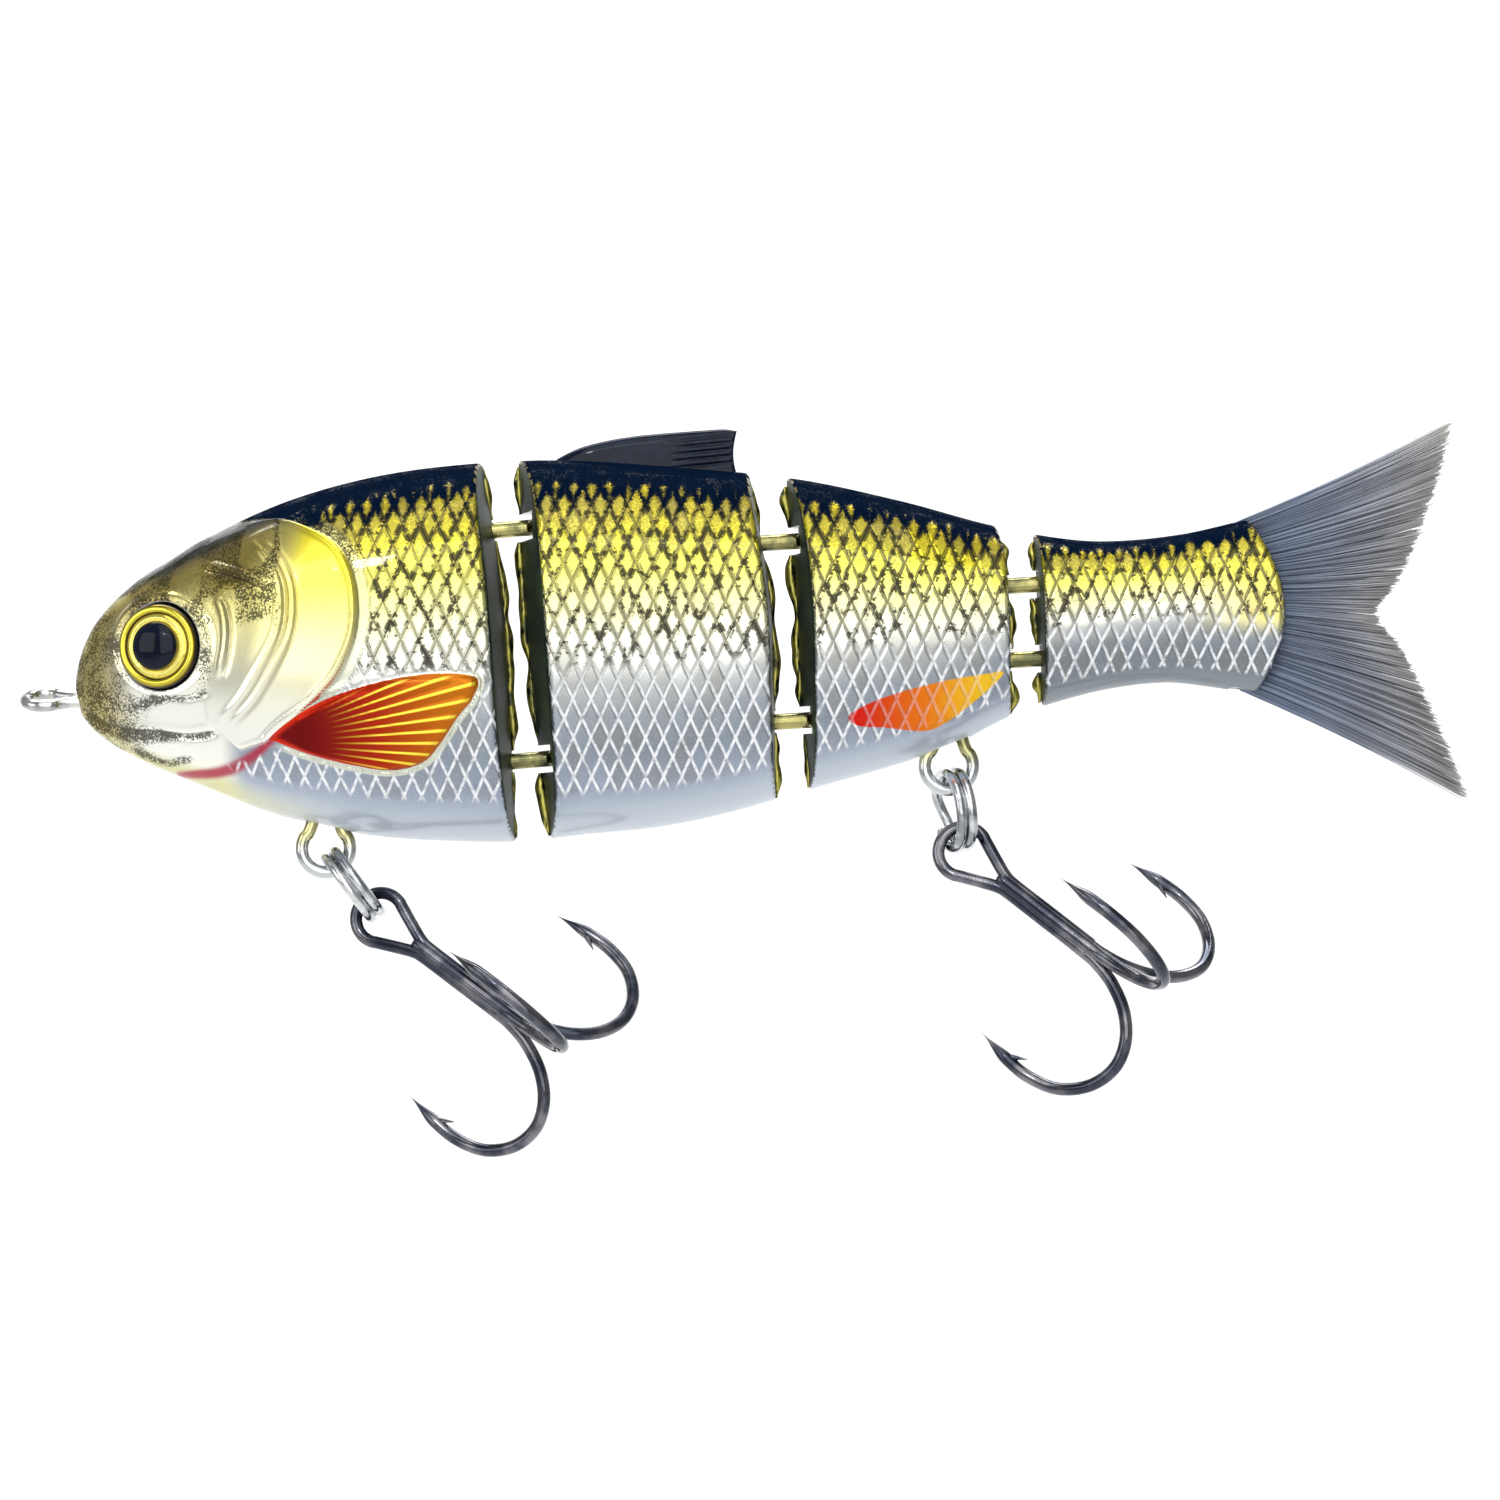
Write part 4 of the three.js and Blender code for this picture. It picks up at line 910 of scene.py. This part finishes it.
FLASH = make_flash()
rng = np.random.default_rng(7)
for name, (section, face, out_way, x_guess, hinge) in SEAM_BEADS.items():
    top, bottom, _ = heights(np.array(x_guess))
    z = np.linspace(bottom + 0.5, top - 0.7, 150)
    rough = np.convolve(rng.normal(0, 0.4, 170), np.hanning(21), "valid")[:150]
    ridge = face(0 * z, z) + out_way * (0.05 + 0.09 * rough)
    breaks = [abs(z - HINGES[hinge][0][2] - s * HINGES[hinge][2]) for s in (-1, 1)]
    ends = np.minimum(np.minimum(*breaks) - 1.2, np.minimum(z - z[0], z[-1] - z) + 0.1)
    thick = 0.1 + (0.36 + 0.06 * rough) * smooth(-0.2, 1.6, ends)
    path, radii = round_ends(np.stack([ridge, 0.04 * rough, z], -1), thick)
    points, faces = tube(path, radii, (0, 1, 0), 14)
    bead = outward(show(f"seam_bead_{name}", points, faces, FLASH))
    cut(bead, link_slots(hinge) if out_way < 0 else link_bores(hinge))
    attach(bead, BODY_OF[section])

# ----------------------------------------------------------------------------------------------------------
# Hinge wires: each is 1.5 mm stainless wire bent to an eye round the hinge pin, with a foot turned in at its
# moulded end. The lacquer that the body was dipped in has dried gold on their bare middles.

LINK_FOOT = 3.0
LINK_BEND_R = 0.9


def make_wire(name, tint_low, tint_high, dark=0.1):
    """Drawn steel wire with fine scratches, tinted by lacquer except where the mesh's bare share is high."""
    made, tree, surface = material(name, metallic=1.0, coat_weight=0.5, coat_roughness=0.04)
    place = node(tree, "ShaderNodeTexCoord", output=3)
    cloud = node(tree, "ShaderNodeTexNoise", {}, {"Vector": place, "Scale": 420.0, "Detail": 3.0})
    fine = node(tree, "ShaderNodeTexNoise", {}, {"Vector": place, "Scale": 6000.0, "Detail": 2.0})
    bare = node(tree, "ShaderNodeAttribute", {"attribute_name": "bare"}, output=2)
    shade = bare.mix(cloud.ramp(0.38, 0.62).mix(tint_low, tint_high), rgb(206, 209, 210))
    bump = node(tree, "ShaderNodeBump", {}, {"Strength": 0.25, "Distance": 0.04 * MM, "Height": fine + cloud})
    drive(tree, surface, base_color=shade, roughness=dark + 0.12 * fine, normal=bump)
    return made


GILDED = make_wire("gilded_wire", rgb(92, 92, 58), rgb(176, 168, 104))
PALE_GILT = make_wire("pale_gilt_wire", rgb(140, 138, 92), rgb(212, 206, 150), 0.06)
LINK_BODIES = {"front": "head", "middle": "mid_section", "back": "rear_section"}
for hinge, (pin_middle, tilt, apart, _) in HINGES.items():
    for word, sign in (("upper", 1), ("lower", -1)):
        bend = np.linspace(0, np.pi / 2, 9)[1:]
        bend_x, bend_z = -LINK_LONG + LINK_BEND_R, apart - LINK_BEND_R
        foot = [(bend_x - LINK_BEND_R * np.sin(b), 0, sign * (bend_z + LINK_BEND_R * np.cos(b)))
                for b in bend]
        shank = [(x, 0, sign * apart) for x in np.linspace(-LINK_EYE_R, bend_x, 20)]
        end = [(-LINK_LONG, 0, sign * (apart - LINK_FOOT))]
        path, radii = round_ends(shank + foot + end, LINK_R)
        wire_part = tube(path, radii, (0, 1, 0), 20)
        turn = np.linspace(0, 2 * np.pi, 48, endpoint=False)
        eye = np.stack([LINK_EYE_R * np.cos(turn), LINK_EYE_R * np.sin(turn), 0 * turn + sign * apart], -1)
        points, faces = joined(wire_part, tube(eye, LINK_R, (0, 0, 1), 20, closed=True))
        link = outward(show(f"{hinge}_link_{word}", at_hinge(hinge, points), faces, GILDED))
        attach(link, LINK_BODIES[hinge])
        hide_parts(f"{hinge}_hinge_link_{word}")

# ----------------------------------------------------------------------------------------------------------
# Line tie and hook hangers: stainless wire bent to a loop, whose two legs are moulded side by side into the
# shell. The line tie is turned a little out of level, as the legs were twisted together.

TIE_ROLL = 20
TIE_LOOP = (1.75, 0.7, 10.6)  # the loop's radius, half the distance between its legs, and their end
TIE_WIRE_R = 0.55
HANGER_LOOP = (2.2, 0.95, 5.8)
HANGER_WIRE_R = 0.6


def loop_path(loop_radius, leg_gap, leg_end):
    """The middle of a wire that comes down one leg, goes round a loop about the origin and up the other leg.
    The loop opens upwards, and a smooth curve leads into each leg."""
    opening = np.arcsin(leg_gap / loop_radius) + 0.3
    turn = np.linspace(opening, 2 * np.pi - opening, 13)
    loop = np.stack([-loop_radius * np.sin(turn), loop_radius * np.cos(turn)], -1)
    knee = loop_radius + 1.3
    legs = [[(s * leg_gap, z) for z in (leg_end, (leg_end + knee) / 2, knee)] for s in (-1, 1)]
    bent = curve_through(np.array(legs[0] + loop.tolist() + legs[1][::-1]), pieces=7)
    return np.stack([bent[:, 0], 0 * bent[:, 0], bent[:, 1]], -1)


SILVERED = make_wire("stainless_wire", rgb(176, 178, 178), rgb(222, 222, 214), 0.12)
tie_path, tie_radius = round_ends(loop_path(*TIE_LOOP), TIE_WIRE_R)
tie_points, tie_faces = tube(tie_path, tie_radius, (0, 1, 0), 20)
roll = np.array(Matrix.Rotation(np.radians(TIE_ROLL), 3, "X"))
tie_points = np.stack([tie_points[:, 2], tie_points[:, 0], tie_points[:, 1]], -1) @ roll.T
tie = outward(show("line_tie_wire", tie_points, tie_faces, SILVERED))
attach(tie, "head")
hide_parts("line_tie")

# Each rig as its hanger's loop, its body, and in degrees the ring's swing and twist and the hook's swing,
# lean and roll.
RIGS = {
    "front": ((25.7, 0, -13.6), "head", 37, 4, 54, 16, -40.5),
    "rear": ((82.7, 0, -6.05), "rear_section", 7, 16, 52, 15, -45.5),
}
for rig, (place, body, *_) in RIGS.items():
    path, radii = round_ends(loop_path(*HANGER_LOOP), HANGER_WIRE_R)
    points, faces = tube(path, radii, (0, 1, 0), 20)
    hanger = outward(show(f"{rig}_hanger_wire", points + place, faces, PALE_GILT))
    bare = smooth(1.3, -0.6, np.asarray(points).reshape(-1, 3)[:, 2])
    hanger.data.attributes.new("bare", "FLOAT", "POINT").data.foreach_set("value", bare)
    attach(hanger, body)
    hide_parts(f"{rig}_hook_hanger")

# ----------------------------------------------------------------------------------------------------------
# Split rings: two turns of slightly flattened stainless wire side by side, which hang in the hangers and
# carry the hooks. The wire steps across from one turn to the other.

RING_R = 3.55
RING_DROP = 0.5
RING_PITCH = 1.0
RING_WIRE_R = 0.49
CROSSING = 35  # degrees each way over which the wire steps across

POLISHED = make_wire("polished_ring", rgb(150, 153, 158), rgb(226, 227, 228), 0.05)


def turned(points, *turns):
    """Points turned by (axis, degrees) steps, the last step first."""
    for axis, degrees in reversed(turns):
        points = points @ np.array(Matrix.Rotation(np.radians(degrees), 3, axis)).T
    return points


for rig, (place, _, ring_aft, twist, *_) in RIGS.items():
    angle = np.linspace(CROSSING, 720 - CROSSING, 150)
    across = RING_PITCH * (smooth(360 - CROSSING, 360 + CROSSING, angle) - 0.5)
    at = np.radians(angle + 90)
    path = np.stack([across, RING_R * np.sin(at), RING_R * np.cos(at) - RING_R - RING_DROP], -1)
    path, radii = round_ends(path, RING_WIRE_R)
    points, faces = tube(path, radii, (1, 0, 0), 18, 0.94)
    points = turned(points, ("Y", -ring_aft), ("Z", twist)) + place
    ring = outward(show(f"{rig}_ring_wire", points, faces, POLISHED))
    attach(ring, f"{rig}_ring")
    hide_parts(f"{rig}_split_ring")

# ----------------------------------------------------------------------------------------------------------
# Treble hooks: one wire makes a drop-shaped eye and runs down as two bends, and a third hook is brazed in
# between them. They are sharpened, barbed, and plated in smoky black nickel.

HOOK_EYE_R = 2.3
HOOK_EYE_OPEN = 58  # degrees from straight down at which the wire leaves the circle
HOOK_WIRE_R = 0.58
BEND = [(0.5, 14.2), (0.6, 16), (1.2, 18.3), (2.6, 20.7), (4.7, 22.4), (7.3, 23), (10, 22.1), (12.1, 19.9),
        (12.95, 17.1), (12.9, 14.4), (12.4, 11.1)]
HOOK_DROP = 0.5


def make_nickel():
    """Black nickel: a dark smooth plate with a paler sheen where it has worn."""
    made, tree, surface = material("black_nickel", metallic=1.0, coat_weight=0.35, coat_roughness=0.02)
    place = node(tree, "ShaderNodeTexCoord", output=3)
    cloud = node(tree, "ShaderNodeTexNoise", {}, {"Vector": place, "Scale": 300.0, "Detail": 4.0})
    fine = node(tree, "ShaderNodeTexNoise", {}, {"Vector": place, "Scale": 5000.0, "Detail": 2.0})
    edge = node(tree, "ShaderNodeLayerWeight", {}, {"Blend": 0.35}, output=1)
    worn = cloud.ramp(0.4, 0.7) * 0.8
    shade = worn.mix(rgb(56, 61, 74), rgb(150, 148, 152))
    bump = node(tree, "ShaderNodeBump", {}, {"Strength": 0.2, "Distance": 0.03 * MM, "Height": fine})
    drive(tree, surface, base_color=shade, roughness=0.05 + fine * 0.06 + edge * 0.05, normal=bump)
    return made


NICKEL = make_nickel()
for rig, (place, _, ring_aft, twist, hook_aft, lean, hook_roll) in RIGS.items():
    parts = []
    turn = np.radians(np.linspace(HOOK_EYE_OPEN, 360 - HOOK_EYE_OPEN, 17))
    eye = np.stack([-HOOK_EYE_R * np.sin(turn), -HOOK_EYE_R * np.cos(turn)], -1)
    leg = np.array([(0.47, -14.5), (0.47, -9.5), (0.48, -5.6), (0.62, -4.55), (1.02, -3.45)])
    drop = curve_through(np.concatenate([leg * (-1, 1), eye, leg[::-1]]), pieces=8)
    path, radii = round_ends(drop[:, [0, 0, 1]] * (1, 0, 1), HOOK_WIRE_R)
    parts.append(tube(path, radii, (0, 1, 0), 20))
    for third in (0, 120, 240):
        angle = np.radians(hook_roll + third)
        bent = curve_through([(0.42, 4.6), (0.42, 9), *BEND], pieces=10)
        thick = HOOK_WIRE_R * (1 - smooth(0.915, 1, np.linspace(0, 1, len(bent)))) + 0.02
        path, radii = round_ends(bent[:, [0, 0, 1]], thick)
        around = (np.cos(angle), -np.sin(angle), 0)
        line = path[:, :1] * around + path[:, 2:] * (0, 0, -1)
        flat = np.cross(around, (0, 0, -1))
        parts.append(tube(line, radii, flat, 18))
        barb = curve_through([(12.75, 14.4), (12.25, 15.1), (11.75, 16)])
        barb_line = barb[:, :1] * around + barb[:, 1:] * (0, 0, -1)
        parts.append(tube(barb_line, np.linspace(0.4, 0.04, len(barb)), flat, 10))
    far = turned(np.array([[0, 0, -RING_DROP - 2 * RING_R]]), ("Y", -ring_aft)) + place
    points, faces = joined(*parts)
    points = turned(points + (0, 0, -HOOK_DROP), ("Y", -hook_aft), ("X", -lean)) + far
    hook = outward(show(f"{rig}_treble", points, faces, NICKEL))
    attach(hook, f"{rig}_treble")
    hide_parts(f"{rig}_treble_hook")

# ----------------------------------------------------------------------------------------------------------
# Eyes: a printed foil disc glued into the socket under a domed drop of clear resin. The foil has a gold ring
# with a dark line in it and a blue-black pupil, and is seen through the dome as if painted on it.

# The dome's half section, as (radius, height over the disc's face), and the colour at each radius.
EYE_PROFILE = [
    (3.5, -1.1), (3.76, -0.9), (3.8, -0.2), (3.78, 0.1), (3.6, 0.34), (3.3, 0.42), (3.08, 0.34), (2.96, 0.24),
    (2.84, 0.3), (2.66, 0.4), (2.5, 0.42), (2.38, 0.36), (2.28, 0.5), (2.1, 0.78), (1.8, 1.02), (1.4, 1.2),
    (0.9, 1.32), (0.4, 1.38), (0.02, 1.39),
]
# From 3.74 mm out, the dome's side down in the socket is painted nearly black, as painted shade in the gap
# round the eye.
EYE_RINGS = [
    (0.0, (4, 10, 24)), (1.85, (6, 16, 36)), (2.1, (14, 18, 22)), (2.2, (150, 132, 40)),
    (2.36, (255, 244, 150)), (2.84, (240, 218, 80)), (2.95, (50, 40, 8)), (3.04, (50, 38, 6)),
    (3.14, (214, 194, 40)), (3.4, (250, 236, 90)), (3.6, (170, 148, 22)), (3.74, (40, 32, 10)),
    (3.9, (10, 8, 6)),
]
EYE_AROUND = 96


def make_eye():
    """Gold foil and a black pupil under clear glossy resin; its colour goes by distance from the middle."""
    made, tree, surface = material("eye_resin_over_foil", coat_weight=0.45, coat_roughness=0.0,
                                   specular_ior_level=0.0)
    colour = node(tree, "ShaderNodeAttribute", {"attribute_name": "colour"})
    metal = node(tree, "ShaderNodeAttribute", {"attribute_name": "metal"}, output=2)
    place = node(tree, "ShaderNodeTexCoord", output=3)
    fine = node(tree, "ShaderNodeTexNoise", {}, {"Vector": place, "Scale": 3500.0, "Detail": 3.0})
    shade = (fine.ramp(0.52, 0.75) * metal * 0.35).mix(colour, rgb(120, 96, 20))
    drive(tree, surface, base_color=shade, metallic=metal, roughness=0.08 + fine * 0.12)
    return made


EYE = make_eye()
for word, side in (("left", -1), ("right", 1)):
    seat, axis = eye_seat(side)
    radius, lift = curve_through(EYE_PROFILE, pieces=5).T
    turn = np.linspace(0, 2 * np.pi, EYE_AROUND, endpoint=False)
    level = np.cross(axis, (0, 0, 1))
    spin = np.cos(turn)[:, None] * level + np.sin(turn)[:, None] * np.array([0, 0, 1])
    points = seat + axis * (1.15 + lift[:, None, None]) + radius[:, None, None] * spin
    faces = [list(f) for f in grid_faces(len(radius), EYE_AROUND, wrap=True)]
    last = (len(radius) - 1) * EYE_AROUND
    faces += [list(range(EYE_AROUND)), list(range(last, last + EYE_AROUND))]
    dome = outward(show(f"eye_{word}", points, faces, EYE))
    each = np.repeat(radius, EYE_AROUND)
    paint = zone_colours(EYE_RINGS, each)
    dome.data.attributes.new("colour", "FLOAT_COLOR", "POINT").data.foreach_set("color", paint.ravel())
    gilt = smooth(2.1, 2.3, each) * 0.9
    dome.data.attributes.new("metal", "FLOAT", "POINT").data.foreach_set("value", gilt)
    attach(dome, "head")
    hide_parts(f"eye_dome_{word}", f"eye_disc_{word}")

# ----------------------------------------------------------------------------------------------------------
# Dorsal fin: a separate glossy black moulding with rounded edges and a few grooves like fin rays at its rear.
# Its foot goes down into a groove in the back of the second section.

FIN_TOP = [
    (45.4, 20.9), (47, 22.1), (49.1, 23.1), (51.9, 23.8), (54.6, 24.2), (57.5, 24.45), (60.3, 24.65),
    (62.2, 24.75), (63.25, 24.6),
]
FIN_HALF = 0.78
FIN_ROOT_Z = 20.6
FIN_FRONT_X = 45.6
FIN_REAR_X = 63.3
FIN_ROWS = 40
FIN_AROUND = 120


def make_gloss_black():
    """Blue-black lacquered plastic."""
    made, tree, surface = material("gloss_black", coat_weight=0.5, coat_roughness=0.02,
                                   specular_ior_level=0.0)
    place = node(tree, "ShaderNodeTexCoord", output=3)
    grain = node(tree, "ShaderNodeTexNoise", {}, {"Vector": place, "Scale": 900.0, "Detail": 3.0})
    bump = node(tree, "ShaderNodeBump", {}, {"Strength": 0.3, "Distance": 0.05 * MM, "Height": grain})
    shade = grain.ramp(0.4, 0.7).mix(rgb(6, 14, 32), rgb(14, 28, 52))
    drive(tree, surface, base_color=shade, roughness=0.16 + grain * 0.15, normal=bump)
    return made


def fin_points():
    """The fin as loops round its own section: a loop at each height share goes along one face, round the
    trailing edge and back along the other, and narrows to the top edge as a half-round."""
    top = outline_at(FIN_TOP)
    share = np.linspace(0, 1, FIN_ROWS)[:, None]
    turn = np.linspace(0, 2 * np.pi, FIN_AROUND, endpoint=False)[None, :]
    flatten = np.sign(np.cos(turn)) * np.abs(np.cos(turn)) ** 0.55
    rear_x = FIN_REAR_X - 0.35 * np.sin(np.pi * share) * (1 - 0.2 * share)
    x = (FIN_FRONT_X + rear_x) / 2 + (rear_x - FIN_FRONT_X) / 2 * flatten
    reach = np.sqrt(np.clip(1 - share ** 5, 0, 1))
    nose = smooth(45.5, 50, x)
    y = FIN_HALF * np.sign(np.sin(turn)) * np.abs(np.sin(turn)) ** 0.25 * reach * (0.35 + 0.65 * nose)
    z = FIN_ROOT_Z + (top(x) - FIN_ROOT_Z) * share
    groove = sum(np.exp(-((z - 21.4 - k * 0.62 - 0.1 * (x - 60)) / 0.12) ** 2) for k in range(6))
    y *= 1 - 0.3 * groove * smooth(56.5, 59.5, x) * smooth(63.2, 62.6, x) * smooth(1, 0.85, share)
    return np.stack(np.broadcast_arrays(x, y, z), -1)


GLOSS_BLACK = make_gloss_black()
points = fin_points()
faces = [list(f) for f in grid_faces(FIN_ROWS, FIN_AROUND, wrap=True)]
faces += [list(range(FIN_AROUND)), list(range((FIN_ROWS - 1) * FIN_AROUND, FIN_ROWS * FIN_AROUND))]
dorsal = outward(show("dorsal_fin_moulding", points, faces, GLOSS_BLACK))
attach(dorsal, "mid_section")
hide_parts("dorsal_fin")

# ----------------------------------------------------------------------------------------------------------
# Tail fan: about two and a half thousand grey nylon bristles held flat in the end of the tail section, spread
# and trimmed to a forked outline, with slightly ragged tips.

BRISTLES = 2600
BRISTLE_RINGS = 7
BRISTLE_R = 0.075
FAN_TIPS = [
    (129.9, -8.9), (128.7, -5.6), (127.2, -2), (125.6, 1.6), (123.9, 4.8), (121.7, 7.9), (123.3, 10.4),
    (124.9, 13.4), (126.2, 17), (127.5, 20.8), (128.5, 25.3),
]
# The darkest and the lightest bristle, at the root and at the tip.
ROOT_SHADES = (rgb(82, 94, 118), rgb(150, 164, 188))
TIP_SHADES = (rgb(160, 158, 160), rgb(240, 236, 230))


def make_bristle():
    """Dull nylon, slate grey at the root and warmer grey at the tips; each bristle has its own shade."""
    made, tree, surface = material("nylon_bristle", roughness=0.5, specular_ior_level=0.35)
    colour = node(tree, "ShaderNodeAttribute", {"attribute_name": "colour"})
    place = node(tree, "ShaderNodeTexCoord", output=3)
    cloud = node(tree, "ShaderNodeTexNoise", {}, {"Vector": place, "Scale": 250.0, "Detail": 2.0})
    shade = (cloud.ramp(0.4, 0.7) * 0.2).mix(colour, rgb(96, 100, 108))
    drive(tree, surface, base_color=shade, roughness=0.4 + cloud * 0.25)
    return made


def make_bristles():
    """Each bristle is a three-sided spike of a few rings from the root line to its own trimmed tip, with a
    slight bow and a little scatter. Returns points, faces, and a colour for each point."""
    draw = np.random.default_rng(21)
    share = np.clip((np.arange(BRISTLES) + draw.uniform(-4, 4, BRISTLES)) / BRISTLES, 0, 1)
    clump = 0.011 * np.sin(share * 190) + 0.007 * np.sin(share * 417 + 1)
    tip_share = np.clip(share + clump * 0.6 * np.sin(np.pi * share), 0, 1)
    tips_x, tips_z = curve_through(FAN_TIPS, pieces=12).T
    known = np.linspace(0, 1, len(tips_x))
    tip = np.stack([np.interp(tip_share, known, each) for each in (tips_x, tips_z)], -1)
    root_z = 0.9 + 15.2 * share
    root = np.stack([tail_end(0 * root_z, root_z) - 1.6, root_z], -1)
    reach = 1 + draw.normal(0, 0.012, BRISTLES) - 0.05 * draw.random(BRISTLES) ** 6
    tip = root + (tip - root) * reach[:, None]
    stray = draw.normal(0, 1, (BRISTLES, 3))
    t = np.linspace(0, 1, BRISTLE_RINGS)[None, :]
    bow = 0.3 * np.sin(np.pi * t) * (share[:, None] - 0.5) * -2
    x = root[:, :1] + (tip - root)[:, :1] * t
    z = root[:, 1:] + (tip - root)[:, 1:] * t + bow + 0.12 * stray[:, :1] * t ** 2
    y = draw.uniform(-0.7, 0.7, BRISTLES)[:, None] * (1 - 0.1 * t) + 0.35 * stray[:, 1:2] * t ** 2
    middle_line = np.stack([x, y, z], -1)
    thick = BRISTLE_R * (1 - 0.55 * t ** 3) * (1 + 0.15 * stray[:, 2:3])
    turn = np.array([0, 2 * np.pi / 3, 4 * np.pi / 3])
    ring = np.stack([0 * turn, np.cos(turn), np.sin(turn)], -1)
    points = middle_line[:, :, None, :] + thick[..., None, None] * ring
    first = 3 * BRISTLE_RINGS * np.arange(BRISTLES)[:, None, None]
    end = 3 * (BRISTLE_RINGS - 1)
    faces = (grid_faces(BRISTLE_RINGS, 3, wrap=True) + first).reshape(-1, 4).tolist()
    faces += (np.array([(0, 1, 2), (end, end + 2, end + 1)]) + first).reshape(-1, 3).tolist()
    bands = 0.5 + 0.5 * np.sin(share * 260 + 2 * np.sin(share * 61))
    light = draw.uniform(0, 1, BRISTLES) * 0.55 + 0.45 * bands
    light = light * (0.75 + 0.25 * smooth(0.55, 0.95, share)) + 0.35 * smooth(0.965, 0.995, share)
    root_colour, tip_colour = (
        low + np.outer(light, np.subtract(high, low)) for low, high in (ROOT_SHADES, TIP_SHADES))
    fade = (t ** 2.2)[..., None]
    colour = root_colour[:, None] * (1 - fade) + tip_colour[:, None] * fade
    return points.reshape(-1, 3), faces, np.repeat(colour.reshape(-1, 4), 3, 0)


fan_points, fan_faces, fan_colour = make_bristles()
fan = outward(show("tail_bristles", fan_points, fan_faces, make_bristle()))
fan.data.attributes.new("colour", "FLOAT_COLOR", "POINT").data.foreach_set("color", fan_colour.ravel())
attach(fan, "tail_section")
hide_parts("tail_fan")

# ----------------------------------------------------------------------------------------------------------
# Inside parts: the hinge pins, the ferrule and lock pin of the tail, and the lead weights stay as they were
# built. Only the pins show, as steel ends deep in the slots.


def make_lead():
    """Cast lead, dull and pitted."""
    made, tree, surface = material("cast_lead", metallic=0.9)
    place = node(tree, "ShaderNodeTexCoord", output=3)
    pits = node(tree, "ShaderNodeTexNoise", {}, {"Vector": place, "Scale": 900.0, "Detail": 4.0})
    bump = node(tree, "ShaderNodeBump", {}, {"Strength": 0.5, "Distance": 0.1 * MM, "Height": pits})
    shade = pits.ramp(0.35, 0.7).mix(rgb(92, 94, 98), rgb(134, 136, 140))
    drive(tree, surface, base_color=shade, roughness=0.45 + pits * 0.2, normal=bump)
    return made


LEAD = make_lead()
for name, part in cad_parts.items():
    if part.hide_render:
        continue
    part.data.materials.clear()
    part.data.materials.append(LEAD if "weight" in name else SILVERED)
